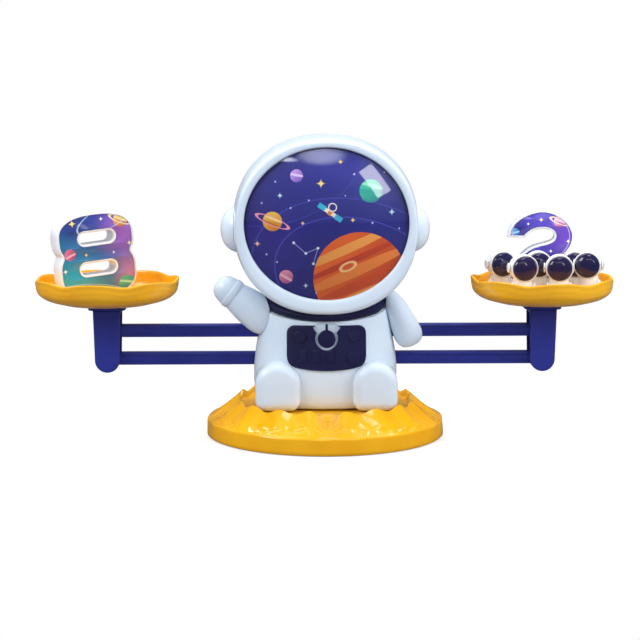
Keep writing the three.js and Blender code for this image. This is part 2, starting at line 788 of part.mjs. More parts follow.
function helmetShell() {
  const shell = cut(helmetSolid(0), [helmetSolid(helmetWall)]);
  const below = solid(box([-farAway, -farAway, -farAway], [farAway, farAway, collarThickness + seam])
    .rotateX(neckTilt).translate(0, 0, neckHeight));
  return cut(shell, [below]);
}

function helmetFrontSolid(shell) {
  const behind = helmetFront - 3 * helmetWall;
  const ahead = helmetFront + overrun;
  const opening = helmetForm([[0, behind], [1, behind], [1, ahead], [0, ahead]],
    openingHalfWidth, openingHalfHeight, openingHeight);
  const parting = helmetBelt;
  const bossReach = [parting - helmetBossLength, parting - seam / 2];
  const bosses = helmetScrewPlaces.map(x =>
    solid(rodY(helmetBossRadius, ...bossReach, x, helmetScrewHeight)));
  const arms = helmetScrewPlaces.map(x => helmetArm(x, ...bossReach));
  const holes = helmetScrewPlaces.map(x =>
    solid(rodY(screwRadius + pressGap, parting - screwLength, parting, x, helmetScrewHeight, smallSides)));
  return cut(join([shell.intersect(frontHalf(parting)), ...bosses, ...arms]), [solid(opening), ...holes]);
}

// A web that carries a screw boss from the helmet's side wall.
function helmetArm(x, frontY, backY) {
  const side = Math.sign(x);
  const wall = side * helmetHalfWidth;
  const [low, high] = [Math.min(x, wall), Math.max(x, wall)];
  const half = helmetWall / 2;
  const web = solid(box([low, frontY, helmetScrewHeight - half], [high, backY, helmetScrewHeight + half]));
  return web.intersect(helmetSolid(helmetWall / 2));
}

function helmetBackSolid(shell) {
  const parting = helmetBelt;
  const bosses = helmetScrewPlaces.map(x =>
    solid(rodY(helmetBossRadius + helmetWall / 2, parting + seam / 2, helmetBack, x, helmetScrewHeight)));
  const inside = join(bosses).intersect(helmetSolid(helmetWall / 2));
  const shanks = helmetScrewPlaces.map(x =>
    solid(rodY(screwRadius + runningGap, parting, helmetBack, x, helmetScrewHeight, smallSides)));
  const seat = parting + screwFloor;
  const heads = helmetScrewPlaces.map(x =>
    solid(rodY(screwHeadRadius + runningGap, seat, helmetBack, x, helmetScrewHeight, smallSides)));
  return cut(shell.intersect(backHalf(parting)).add(inside), [...shanks, ...heads]);
}

// A shallow dome that fills the helmet's opening: a sheet with an even thickness, from its front edge back.
function dome(front, thickness) {
  const rows = Array.from({ length: domeRows + 1 }, (_, i) => Math.cos((i / domeRows) * Math.PI / 2));
  const outer = rows.map(share => [share, front + lensBulge * (1 - share ** 2)]);
  const inner = outer.map(([share, reach]) => [share, reach - thickness]);
  const form = helmetForm([...outer, ...inner.reverse(), outer[0]],
    openingHalfWidth - seam, openingHalfHeight - seam, openingHeight);
  return solid(form);
}

const lensSolid = () => dome(helmetFront - lensInset, lensThickness);
const printSolid = () => dome(helmetFront - lensInset - lensThickness - seam, printThickness);

function earPodSolid(side) {
  const start = helmetHalfWidth - podDome;
  const reach = podReach - start;
  const rows = domeRows + 2;
  const dome = Array.from({ length: rows }, (_, i) => (i / rows) * Math.PI / 2);
  const profile = [
    [0, 0],
    [podRadius, 0],
    ...dome.map(a => [podRadius * Math.cos(a), reach - podDome + podDome * Math.sin(a)]),
    [0, reach],
  ];
  const pod = turned(profile, dialSides).rotateY(side * Math.PI / 2).translate(side * start, 0, podHeight);
  return cut(solid(pod), [helmetSolid(-seam)]);
}

// Linkage

function beamSolid(height, pivot, bore) {
  const half = beamThick / 2;
  const tall = beamTall / 2;
  const bar = solid(box([-beamHalfLength, -half, height - tall], [beamHalfLength, half, height + tall]));
  const hub = solid(rodY(hubRadius, -hubWidth / 2, hubWidth / 2, 0, pivot, dialSides));
  const bossReach = postDepth / 2 - postWall - sideGap;
  const ends = [-beamHalfLength, beamHalfLength].map(x =>
    solid(rodY(tall, -bossReach, bossReach, x, height)));
  const inner = hubRadius + beamLip;
  const outer = beamHalfLength - beamRecessEnd;
  const recesses = [-1, 1].flatMap(side => [-1, 1].map(face => {
    const middle = side * (inner + outer) / 2;
    const outline = roundedRectangle(outer - inner, beamTall - 2 * beamLip, beamLip, middle, height);
    const near = half - beamRecess;
    const far = half + overrun;
    return solid(face < 0 ? plate(outline, -far, -near, 0, 2) : plate(outline, near, far, 0, 2));
  }));
  const centreHole = solid(rodY(bore, -hubWidth, hubWidth, 0, pivot));
  const endHoles = [-beamHalfLength, beamHalfLength].map(x =>
    solid(rodY(pinRadius + runningGap, -postDepth, postDepth, x, height - pinDrop)));
  return cut(join([cut(bar, recesses), hub, ...ends]), [centreHole, ...endHoles]);
}

// A post is a channel open towards the body, with a round bottom and a flange on top. It stands at x = 0
// here, open towards +X when the side is -1.
function postSolid(side) {
  const half = postDepth / 2;
  const flangeBottom = flangeTopHeight - flangeThickness;
  const outline = inset => {
    const bottom = postBottomWidth / 2 - inset;
    const top = postTopWidth / 2 - inset;
    const shape = new THREE.Shape();
    shape.moveTo(top, flangeBottom - inset);
    shape.lineTo(-top, flangeBottom - inset);
    shape.lineTo(-bottom, postBottomHeight + bottom + inset);
    shape.absarc(0, postBottomHeight + bottom + inset, bottom, Math.PI, Math.PI * 2);
    return shape;
  };
  const body = solid(plate(outline(0), -half, half));
  const reach = half - postWall;
  const room = solid(plate(outline(postWall), -reach, reach));
  const mouthTop = flangeBottom - postWall;
  const mouthBottom = postBottomHeight + postWall;
  const mouth = solid(side < 0
    ? box([0, -reach, mouthBottom], [postTopWidth, reach, mouthTop])
    : box([-postTopWidth, -reach, mouthBottom], [0, reach, mouthTop]));
  const flangeShape = roundedRectangle(flangeWidth, flangeDepth, flangeCorner);
  const flangeSizes = { depth: flangeThickness, bevelEnabled: false };
  const flange = new THREE.ExtrudeGeometry(tidy(flangeShape, 3), flangeSizes).translate(0, 0, flangeBottom);
  const socketX = spigotWidth / 2 + seam;
  const socketY = spigotDepth / 2 + seam;
  const socket = solid(box([-socketX, -socketY, flangeBottom - postWall - overrun],
    [socketX, socketY, flangeTopHeight + overrun]));
  const pinHoles = [upperPinHeight, lowerPinHeight].map(height =>
    solid(rodY(pinRadius + pressGap, -reach - pinBlindDepth, postDepth, 0, height)));
  return cut(join([cut(body, [room, mouth]), solid(flange)]), [socket, ...pinHoles]);
}

function linkPinSolid() {
  const reach = postDepth / 2 - postWall;
  return solid(rodY(pinRadius, -reach - pinBlindDepth + seam, postDepth / 2 - seam, 0, 0));
}

// Trays

// Radius and height of the tray's outside as shares of its own, above the flat that sits on the post.
const trayOuterShares = [[0.62, 0.07], [0.83, 0.19], [0.935, 0.35], [0.972, 0.55], [1, 1]];
const trayInnerShares = [[0.925, 1], [0.918, 0.6], [0.885, 0.42], [0.83, 0.29]];

function traySolid() {
  const outer = trayOuterShares.map(([radius, height]) => [radius * trayRadius, height * trayHeight]);
  const inner = trayInnerShares.map(([radius, height]) =>
    [radius * (trayRadius - trayWall) + trayWall, height * trayHeight]);
  const profile = [
    [0, 0],
    [traySeatRadius, 0],
    ...outer,
    ...inner,
    [trayFloorRadius, trayFloor + trayRimWave / 2],
    [0, trayFloor],
  ];
  const bowl = turned(profile, traySides, (point, angle, radius) => {
    const share = Math.max(0, (point.z - trayFloor) / trayHeight) ** trayWaveGrowth;
    const wave = Math.cos(trayWaves * angle + trayRimWavePhase);
    const plan = Math.cos(trayWaves * angle + trayPlanWavePhase);
    const scale = radius > 0 ? 1 + (trayPlanWave * plan * share) / trayRadius : 1;
    point.x *= scale;
    point.y *= scale;
    point.z += trayRimWave * wave * share;
  });
  const spigot = box([-spigotWidth / 2, -spigotDepth / 2, -spigotLength],
    [spigotWidth / 2, spigotDepth / 2, trayFloor / 2]);
  return solid(bowl).add(solid(spigot));
}

// The floor's height over the tray's seat at a distance from its middle.
function trayFloorAt(distance) {
  const rise = Math.max(0, distance - trayFloorRadius) * trayFloorSlope;
  return trayFloor + (trayRimWave / 2) * Math.min(1, distance / trayFloorRadius) + rise;
}

// Number blocks: a moulding open at the front, closed by a printed face inside its border

// One round lobe with a squarish outline, shrunk by an inset.
function lobe(width, tall, centre, inset) {
  const halfWidth = width / 2 - inset;
  const halfTall = tall / 2 - inset;
  const points = Array.from({ length: lobeSides }, (_, i) => {
    const angle = (i / lobeSides) * 2 * Math.PI;
    const sine = Math.sin(angle);
    const cosine = Math.cos(angle);
    const sum = Math.abs(sine) ** lobeSquareness + Math.abs(cosine) ** lobeSquareness;
    const stretch = sum ** (-1 / lobeSquareness);
    return new THREE.Vector2(halfWidth * stretch * cosine, centre + halfTall * stretch * sine);
  });
  return new THREE.Shape(points);
}

const eightLowerCentre = eightLowerTall / 2;
const eightUpperCentre = numberHeight - eightUpperTall / 2;

function eightForm(inset, frontY, backY, bevel = 0) {
  const lower = lobe(eightLowerWidth, eightLowerTall, eightLowerCentre, inset);
  const upper = lobe(eightUpperWidth, eightUpperTall, eightUpperCentre, inset);
  const middle = (eightLowerCentre + eightUpperCentre) / 2;
  const waistTall = eightUpperCentre - eightLowerCentre;
  const waist = roundedRectangle(eightWaistWidth - 2 * inset, waistTall, numberBevel, 0, middle);
  return join([lower, upper, waist].map(outline => solid(plate(outline, frontY, backY, bevel, 1))));
}

function eightSlots(grow, frontY, backY) {
  const width = eightSlotWidth + 2 * grow;
  const tall = eightSlotTall + 2 * grow;
  return [eightLowerCentre, eightUpperCentre].map(centre =>
    solid(plate(roundedRectangle(width, tall, tall / 2 - pressGap, 0, centre), frontY, backY)));
}

// The middle of the two's stroke, from its tip over the bowl and down to the foot, from the bowl's centre.
const twoPath = [[-17.1, -1], [-15.6, 4.6], [-9.6, 9.4], [0, 11.2], [9.6, 9.4], [15.6, 4.6], [16.9, -0.5],
  [14.8, -5.9], [9.4, -10], [1.6, -12.9], [-6.4, -15.8], [-12.4, -20.4], [-16.2, -26.6], [-17.1, -33.8]];

// A band of even width along the path, shrunk by an inset on all sides.
function twoStrokeOutline(inset) {
  const path = new THREE.SplineCurve(twoPath.map(([x, y]) => new THREE.Vector2(x, y)));
  const start = inset / path.getLength();
  const half = twoStroke / 2 - inset;
  const places = Array.from({ length: twoSteps + 1 }, (_, i) => start + (1 - start) * (i / twoSteps));
  const side = reach => places.map(place => {
    const along = path.getTangentAt(place);
    return path.getPointAt(place).add(new THREE.Vector2(-along.y * reach, along.x * reach + twoBowlHeight));
  });
  return new THREE.Shape([...side(half), ...side(-half).reverse()]);
}

function numberBlock(form, slots) {
  const outer = form(0, 0, numberThickness, numberBevel);
  const recess = form(faceBorder, -overrun, faceThickness + 2 * seam);
  const pocket = form(faceBorder + numberWall, -overrun, numberThickness - numberWall);
  const through = slots(0, -overrun, numberThickness + overrun);
  const walls = slots(numberWall + faceBorder, 0, numberThickness);
  const ledges = slots(faceBorder, -overrun, faceThickness + 2 * seam);
  const hollow = cut(pocket, walls);
  return cut(outer, [hollow, recess, ...ledges, ...through]);
}

function eightFace() {
  const sheet = eightForm(faceBorder + seam, seam, faceThickness + seam);
  return cut(sheet, eightSlots(faceBorder / 2, -overrun, overrun));
}

// A steel ring in the lower lobe, low down so that the block stands firmly.
function eightWeight() {
  const back = numberThickness - numberWall - seam;
  const outline = lobe(eightLowerWidth, eightLowerTall, eightLowerCentre, weightInset);
  const block = solid(plate(outline, back - weightThickness, back));
  return cut(block, eightSlots(weightInset, 0, numberThickness));
}

function twoForm(inset, frontY, backY, bevel = 0) {
  const foot = roundedRectangle(twoWidth - 2 * inset, twoStroke - 2 * inset, numberBevel, 0, twoStroke / 2);
  return solid(plate(twoStrokeOutline(inset), frontY, backY, bevel))
    .add(solid(plate(foot, frontY, backY, bevel, 1)));
}

// Counters

// The torso's radius and height as shares of the body's radius and of the torso's top.
const counterTorsoShares = [[0.92, 0.146], [1, 0.45], [0.8, 1], [0, 1]];
// How far down the head the torso reaches, as a share of the head's radius.
const counterNeckShare = 0.6;

function counterBody() {
  const torsoTop = counterHeadHeight - counterHeadRadius * counterNeckShare;
  const torso = turned([
    [0, 0],
    [counterFootRadius, 0],
    ...counterTorsoShares.map(([radius, height]) => [radius * counterBodyRadius, height * torsoTop]),
  ], smallSides);
  const head = new THREE.SphereGeometry(counterHeadRadius, counterSides, counterRows)
    .translate(0, 0, counterHeadHeight);
  const ears = new THREE.CylinderGeometry(counterEarRadius, counterEarRadius, 2 * counterEarReach, smallSides)
    .rotateZ(Math.PI / 2).translate(0, 0, counterHeadHeight);
  const arms = [-1, 1].map(side =>
    solid(new THREE.SphereGeometry(counterArmRadius, counterArmSides, counterArmRows)
      .scale(1, 1, counterArmHeight / counterBodyRadius)
      .translate(side * counterArmReach, -counterArmRadius, counterArmHeight / 2 + counterArmRadius)));
  const visorRoom = solid(counterVisorGeometry(seam));
  return cut(join([solid(torso), solid(head), solid(ears), ...arms]), [visorRoom]);
}

// The visor is a dome set into the front of the head.
function counterVisorGeometry(grow) {
  const radius = counterVisorRadius + grow;
  const seat = Math.sqrt(counterHeadRadius ** 2 - counterVisorRadius ** 2) - counterVisorBulge / 4;
  const edge = counterHeadRadius - counterVisorBulge / 2;
  const angles = Array.from({ length: domeRows + 1 }, (_, i) => (i / domeRows) * Math.PI / 2);
  const profile = [
    [0, seat - grow],
    [radius, seat - grow],
    ...angles.map(a => [radius * Math.cos(a), edge + counterVisorBulge * Math.sin(a)]),
  ];
  return laidForward(turned(profile, counterSides)).translate(0, 0, counterHeadHeight);
}

// Places in the right tray, as shares of the tray's radius, and how far each counter is turned.
const counterShares = [[-0.335, -0.408, 8], [0.172, -0.408, -4], [0.595, -0.345, -18],
  [-0.585, 0.12, 14], [-0.045, 0.14, 0], [0.48, 0.095, -9]];

// Assembly

const game = new THREE.Group();

const add = (group, name, body, material, x = 0, y = 0, z = 0) => {
  const mesh = piece(name, body, material);
  mesh.position.set(x, y, z);
  group.add(mesh);
  return mesh;
};

add(game, 'base_shell', baseShellSolid(), yellow);
footPlaces.forEach(([x, y], i) => {
  const foot = solid(rodZ(footRadius, 0, footThickness - pressGap, 0, 0));
  add(game, `rubber_foot_${i + 1}`, foot, rubber, x, y);
});
baseScrewPlaces.forEach(([x, y], i) => {
  const headTop = craterFloorHeight - baseShell - screwFloor;
  add(game, `base_screw_${i + 1}`, solid(screwGeometry()), steel, x, y, headTop - screwHeadHeight - seam);
});

const shell = bodyShell();
add(game, 'body_front', bodyFrontSolid(shell), paleBlue);
add(game, 'body_back', bodyBackSolid(shell), paleBlue);
bodyScrewPlaces.forEach((x, i) => {
  const screw = add(game, `body_screw_${i + 1}`, solid(screwGeometry()), steel, x,
    slotWidth / 2 + screwFloor + screwHeadHeight + seam, bodyScrewHeight);
  screw.rotation.x = Math.PI / 2;
});
add(game, 'collar', collarSolid(), darkNavy);
add(game, 'chest_panel', panelSolid(), darkNavy);
add(game, 'pointer', pointerSolid(), darkNavy);
add(game, 'left_arm', trimmedArm(raisedArmSolid()), paleBlue);
add(game, 'right_arm', trimmedArm(loweredArmSolid()), paleBlue);

const helmet = helmetShell();
add(game, 'helmet_front', helmetFrontSolid(helmet), paleBlue);
add(game, 'helmet_back', helmetBackSolid(helmet), paleBlue);
helmetScrewPlaces.forEach((x, i) => {
  const screw = add(game, `helmet_screw_${i + 1}`, solid(screwGeometry()), steel, x,
    helmetBelt + screwFloor + screwHeadHeight + seam, helmetScrewHeight);
  screw.rotation.x = Math.PI / 2;
});
add(game, 'ear_pod_left', earPodSolid(-1), paleBlue);
add(game, 'ear_pod_right', earPodSolid(1), paleBlue);
add(game, 'visor_print', printSolid(), printBlue);
add(game, 'visor_lens', lensSolid(), clear);

add(game, 'upper_beam', beamSolid(upperBeamHeight, upperPivot, axleRadius + pressGap), navy);
add(game, 'lower_beam', beamSolid(lowerBeamHeight, lowerPivot, axleRadius + runningGap), navy);
const upperAxle = solid(rodY(axleRadius, -dialFloor - pointerSocket, upperAxleBack, 0, 0));
const lowerAxle = solid(rodY(axleRadius, -lowerAxleReach, lowerAxleReach, 0, 0));
add(game, 'upper_axle', upperAxle, steel, 0, 0, upperPivot);
add(game, 'lower_axle', lowerAxle, steel, 0, 0, lowerPivot);

for (const [name, side] of [['left', -1], ['right', 1]]) {
  const end = new THREE.Group();
  end.position.x = side * beamHalfLength;
  game.add(end);
  add(end, `${name}_post`, postSolid(side), navy);
  add(end, `${name}_upper_pin`, linkPinSolid(), steel, 0, 0, upperPinHeight);
  add(end, `${name}_lower_pin`, linkPinSolid(), steel, 0, 0, lowerPinHeight);
  const tray = add(end, `${name}_tray`, traySolid(), yellow, 0, 0, trayBase);
  if (side < 0) tray.rotation.z = Math.PI;
}

const eight = new THREE.Group();
eight.position.set(-beamHalfLength + eightX, eightY, trayBase + trayFloor + eightLift);
eight.rotation.set(0, -eightLeanDegrees * degree, eightTurnDegrees * degree, 'ZYX');
game.add(eight);
add(eight, 'number_eight', numberBlock(eightForm, eightSlots), white, 0, -numberThickness / 2, 0);
add(eight, 'number_eight_face', eightFace(), eightPrint, 0, -numberThickness / 2, 0);
add(eight, 'number_eight_weight', eightWeight(), steel, 0, -numberThickness / 2, 0);

const two = new THREE.Group();
two.position.set(beamHalfLength + twoX, twoY, trayBase + trayFloor + twoLift);
two.rotation.z = twoTurnDegrees * degree;
game.add(two);
add(two, 'number_two', numberBlock(twoForm, () => []), white, 0, -numberThickness / 2, 0);
const twoFace = twoForm(faceBorder + seam, seam, faceThickness + seam);
add(two, 'number_two_face', twoFace, twoPrint, 0, -numberThickness / 2, 0);

const counter = counterBody();
const visor = solid(counterVisorGeometry(0));
counterShares.forEach(([x, y, turn], i) => {
  const place = new THREE.Group();
  const reach = Math.hypot(x, y) * trayRadius + counterFootRadius;
  place.position.set(beamHalfLength + x * trayRadius, y * trayRadius, trayBase + trayFloorAt(reach) + seam);
  place.rotation.z = turn * degree;
  game.add(place);
  add(place, `counter_${i + 1}`, counter, white);
  add(place, `counter_visor_${i + 1}`, visor, darkNavy);
});

export default game;
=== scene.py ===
# %% [markdown]
# # A counting balance game
# The real object is a table toy: a seated space-suited figure holds two level beams, and a tray hangs
# steady at each end. Nearly all of it is glossy moulded ABS. The solids of every piece are already packed,
# so this lesson loads them, keeps the hidden hardware as it is, and builds a finer skin for each piece that
# the eye meets.

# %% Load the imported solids
import math

import bmesh
import bpy
import numpy as np
from mathutils import Euler, Matrix, Vector, geometry


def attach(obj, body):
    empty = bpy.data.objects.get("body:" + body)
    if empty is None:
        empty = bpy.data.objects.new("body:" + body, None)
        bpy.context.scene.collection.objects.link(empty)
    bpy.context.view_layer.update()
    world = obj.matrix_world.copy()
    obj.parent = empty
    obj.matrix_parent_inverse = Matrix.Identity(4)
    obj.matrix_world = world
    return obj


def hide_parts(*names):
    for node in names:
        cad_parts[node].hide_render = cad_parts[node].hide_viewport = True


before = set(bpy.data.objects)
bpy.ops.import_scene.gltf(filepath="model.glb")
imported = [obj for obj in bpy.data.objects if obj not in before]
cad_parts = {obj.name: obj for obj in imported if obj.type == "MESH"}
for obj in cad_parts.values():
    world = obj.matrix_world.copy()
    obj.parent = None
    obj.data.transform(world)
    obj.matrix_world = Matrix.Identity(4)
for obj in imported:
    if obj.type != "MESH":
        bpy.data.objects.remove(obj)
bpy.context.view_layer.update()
MM = 0.001

# %% [markdown]
# ## From sizes to meshes
# A toy like this is drawn in millimetres, so every size below is one, and a single helper turns points into
# a mesh in metres. It merges points that meet, such as the middle of a dome, because a seam left open would
# show as a line.

# %% Points and faces become a piece
# An edge bent by more than this many degrees stays crisp, and points nearer than this many mm become one.
CRISP, WELD = 32, 0.004


def mesh_of(name, points, faces, sharp=CRISP):
    mesh = bpy.data.meshes.new(name)
    mesh.from_pydata([Vector(p) * MM for p in points], [], faces)
    work = bmesh.new()
    work.from_mesh(mesh)
    bmesh.ops.remove_doubles(work, verts=work.verts, dist=WELD * MM)
    bmesh.ops.delete(work, geom=[e for e in work.edges if not e.link_faces], context="EDGES")
    bmesh.ops.recalc_face_normals(work, faces=work.faces)
    work.to_mesh(mesh)
    work.free()
    return shaded(mesh, sharp)


def shaded(mesh, sharp=CRISP):
    mesh.shade_smooth()
    mesh.set_sharp_from_angle(angle=math.radians(sharp))
    return mesh


def piece_of(name, mesh):
    piece = bpy.data.objects.new(name, mesh)
    bpy.context.scene.collection.objects.link(piece)
    return piece


# %% [markdown]
# ## Skins made of rings
# Most pieces of a moulded figure are round forms that someone has squashed: a pear, a dome, an arm. A mesh
# of closed rings covers them all. Each ring is one slice, and neighbouring slices are joined by four-sided
# faces.


# %% Rings become a skin
def skin(name, rings, tube=False, sharp=CRISP):
    rings = np.asarray(rings, float)
    count, around = rings.shape[:2]
    faces = []
    for row in range(count if tube else count - 1):
        here, there = row * around, (row + 1) % count * around
        for k in range(around):
            after = (k + 1) % around
            faces.append((here + k, here + after, there + after, there + k))
    if not tube:
        faces.append(tuple(range(around)))
        faces.append(tuple(range((count - 1) * around, count * around)))
    return mesh_of(name, rings.reshape(-1, 3), faces, sharp)


def turned(profile, around):
    """Rings from [radius, height] points, turned about Z. The angle runs from the front towards +X."""
    angle = np.linspace(0, 2 * math.pi, around, endpoint=False)
    radius, height = np.array(profile, float).T
    flat = np.stack([np.sin(angle), -np.cos(angle)], 1)
    rings = np.zeros((len(radius), around, 3))
    rings[:, :, :2] = radius[:, None, None] * flat
    rings[:, :, 2] = height[:, None]
    return rings


def through(points, steps=6):
    """A smooth line through the points, as a bent spring rod would lie."""
    points = np.array(points, float)
    ends = np.vstack([2 * points[0] - points[1], points, 2 * points[-1] - points[-2]])
    line = []
    for i in range(1, len(ends) - 2):
        a, b, c, d = ends[i - 1:i + 3]
        slope, bend, twist = c - a, 2 * a - 5 * b + 4 * c - d, 3 * b - a - 3 * c + d
        for t in np.arange(steps) / steps:
            line.append(0.5 * (2 * b + slope * t + bend * t**2 + twist * t**3))
    return np.array(line + [points[-1]])


def rounded(corner, first, last, radius, steps=5):
    """An arc about a corner point, from one angle to another, in degrees."""
    angle = np.radians(np.linspace(first, last, steps))
    return [(corner[0] + radius * math.cos(a), corner[1] + radius * math.sin(a)) for a in angle]


# %% [markdown]
# ## Plates made of outlines
# Digits, beams and posts are flat outlines with a thickness. The helper walks each outline from the back to
# the front by steps of [how far in, how deep], so the same few lines give a rounded edge, a raised border
# or a recess.

# %% Outlines become a plate
# An inset is divided by the cosine of half a corner's bend. This floor keeps a sharp one from spiking.
LEAST_COSINE = 0.45


def inset(loop, amount):
    """The outline moved to its own left, which is inwards for one drawn anticlockwise."""
    loop = np.asarray(loop, float)
    ahead = np.roll(loop, -1, 0) - loop
    ahead /= np.linalg.norm(ahead, axis=1)[:, None]
    behind = np.roll(ahead, 1, 0)
    left = np.stack([-(ahead + behind)[:, 1], (ahead + behind)[:, 0]], 1)
    left /= np.maximum(np.linalg.norm(left, axis=1), 1e-9)[:, None]
    stretch = np.maximum((left * np.stack([-ahead[:, 1], ahead[:, 0]], 1)).sum(1), LEAST_COSINE)
    return loop + left * (amount / stretch)[:, None]


def plate(name, loops, path, place=None, sharp=CRISP):
    """loops: the outline anticlockwise, then its holes clockwise, as [x, z].
    path: steps of [inset, y] from back to front."""
    points, faces = [], []
    for end in (0, -1):
        flat = [[Vector((x, z, 0)) for x, z in inset(loop, path[end][0])] for loop in loops]
        start = len(points)
        points += [(p.x, path[end][1], p.y) for loop in flat for p in loop]
        faces += [tuple(start + k for k in corner) for corner in geometry.tessellate_polygon(flat)]
    for loop in loops:
        start, around = len(points), len(loop)
        for far, y in path:
            points += [(x, y, z) for x, z in inset(loop, far)]
        for row in range(len(path) - 1):
            for k in range(around):
                after = (k + 1) % around
                base = start + row * around
                faces.append((base + k, base + after, base + around + after, base + around + k))
    if place is not None:
        points = [place @ Vector(p) for p in points]
    return mesh_of(name, points, faces, sharp)


def edge(back, front, round_back=0.8, round_front=0.8, steps=4):
    """The path of a plain plate with rounded edges."""
    bend = np.linspace(0, math.pi / 2, steps)
    back_edge = [(round_back * (1 - math.sin(a)), back - round_back * (1 - math.cos(a))) for a in bend]
    front_edge = [(round_front * (1 - math.cos(a)), front + round_front * (1 - math.sin(a))) for a in bend]
    return back_edge + front_edge


def rectangle(low, high, corner=1.0, steps=4, hole=False):
    x0, z0 = low
    x1, z1 = high
    loop = (rounded((x1 - corner, z0 + corner), 270, 360, corner, steps)
            + rounded((x1 - corner, z1 - corner), 0, 90, corner, steps)
            + rounded((x0 + corner, z1 - corner), 90, 180, corner, steps)
            + rounded((x0 + corner, z0 + corner), 180, 270, corner, steps))
    return loop[::-1] if hole else loop


def circle(x, z, radius, around=48, hole=False):
    loop = [(x + radius * math.cos(a), z + radius * math.sin(a))
            for a in np.linspace(0, 2 * math.pi, around, endpoint=False)]
    return loop[::-1] if hole else loop


# %% [markdown]
# ## Cutting and joining
# A mould maker cuts one block with another. The Boolean modifier does the same, and the result is read back
# from the evaluated object, so that nothing is left to work out later.


# %% Cut, join and settle
def settle(piece, sharp=CRISP):
    graph = bpy.context.evaluated_depsgraph_get()
    mesh = bpy.data.meshes.new_from_object(piece.evaluated_get(graph))
    piece.modifiers.clear()
    piece.data = shaded(mesh, sharp)
    return piece


def carve(piece, cutter, way="DIFFERENCE", sharp=CRISP):
    tool = piece_of("cutter", cutter)
    cut = piece.modifiers.new("cut", "BOOLEAN")
    cut.operation = way
    cut.solver = "EXACT"
    cut.object = tool
    settle(piece, sharp)
    bpy.data.objects.remove(tool)
    return piece


def merged(name, meshes, sharp=CRISP):
    """Several closed meshes as one piece, for parts of one moulding that cross each other."""
    work = bmesh.new()
    for mesh in meshes:
        work.from_mesh(mesh)
    whole = bpy.data.meshes.new(name)
    work.to_mesh(whole)
    work.free()
    return shaded(whole, sharp)


def block(low, high, place=None):
    corners = [(x, y, z) for x in (low[0], high[0]) for y in (low[1], high[1]) for z in (low[2], high[2])]
    if place is not None:
        corners = [place @ Vector(c) for c in corners]
    sides = [(0, 1, 3, 2), (4, 6, 7, 5), (0, 4, 5, 1), (2, 3, 7, 6), (0, 2, 6, 4), (1, 5, 7, 3)]
    return mesh_of("block", corners, sides)


# %% [markdown]
# ## Plastics
# ABS takes pigment evenly and leaves a polished steel mould with a gloss. Its index of refraction is about
# 1.53. What tells the eye that it is moulded, and not painted, is a very slow waviness of the surface and a
# roughness that changes a little from place to place. Both come from noise on object coordinates, sized in
# millimetres.


# %% One node at a time
def linear(sheet_colour):
    """An sRGB hex colour as linear numbers."""
    parts = [int(sheet_colour[i:i + 2], 16) / 255 for i in (1, 3, 5)]
    return [c / 12.92 if c <= 0.04045 else ((c + 0.055) / 1.055) ** 2.4 for c in parts] + [1]


def add(tree, kind, inputs=None, **settings):
    made = tree.nodes.new(kind)
    for key, value in settings.items():
        setattr(made, key, value)
    for key, value in (inputs or {}).items():
        if isinstance(value, bpy.types.NodeSocket):
            tree.links.new(value, made.inputs[key])
        else:
            made.inputs[key].default_value = value
    return made


def maths(tree, way, *values):
    return add(tree, "ShaderNodeMath", dict(enumerate(values)), operation=way).outputs[0]


def blended(tree, share, first, last):
    """One colour going over into another. Of a Mix node's many inputs, 6 and 7 are its colours."""
    return add(tree, "ShaderNodeMix", {0: share, 6: first, 7: last}, data_type="RGBA").outputs[2]


def new_material(name):
    material = bpy.data.materials.new(name)
    material.use_nodes = True
    tree = material.node_tree
    tree.nodes.clear()
    out = add(tree, "ShaderNodeOutputMaterial")
    where = add(tree, "ShaderNodeTexCoord").outputs["Object"]
    return material, tree, out, where


def noise_at(tree, where, size_mm, detail=2.0):
    """A cloudy pattern whose lumps are about size_mm wide."""
    noise = {"Vector": where, "Scale": 1 / (size_mm * MM), "Detail": detail}
    return add(tree, "ShaderNodeTexNoise", noise).outputs["Fac"]


def spread(tree, share, low, high):
    """A share from 0 to 1 laid over a range, such as a roughness that changes from place to place."""
    return add(tree, "ShaderNodeMapRange", {"Value": share, "To Min": low, "To Max": high}).outputs[0]


# How wide the lumps of ABS are in mm: those of its tone, its polish and its slow waviness.
TONE_SIZE, POLISH_SIZE, WAVE_SIZE = 38, 7, 9.0


def abs_plastic(name, colour, deep, gloss=(0.16, 0.26), ripple=0.012, glow=0.0, shine=0.5):
    """Moulded ABS: its colour, the deeper tone it has in places, its roughness range and its ripple."""
    material, tree, out, where = new_material(name)
    cloud = noise_at(tree, where, TONE_SIZE)
    tone = add(tree, "ShaderNodeMapRange", {"Value": cloud, "From Min": 0.35, "From Max": 0.75}).outputs[0]
    polish = noise_at(tree, where, POLISH_SIZE, 3.0)
    wave = noise_at(tree, where, WAVE_SIZE, 1.0)
    bump = add(tree, "ShaderNodeBump", {"Height": wave, "Strength": 0.35, "Distance": ripple * MM})
    shader = add(tree, "ShaderNodeBsdfPrincipled", {
        "Base Color": blended(tree, tone, linear(colour), linear(deep)), "IOR": 1.53,
        "Roughness": spread(tree, polish, *gloss), "Specular IOR Level": shine, "Normal": bump.outputs[0],
        "Subsurface Weight": glow, "Subsurface Radius": (1, 1, 1), "Subsurface Scale": 1.5 * MM})
    tree.links.new(shader.outputs[0], out.inputs[0])
    return material


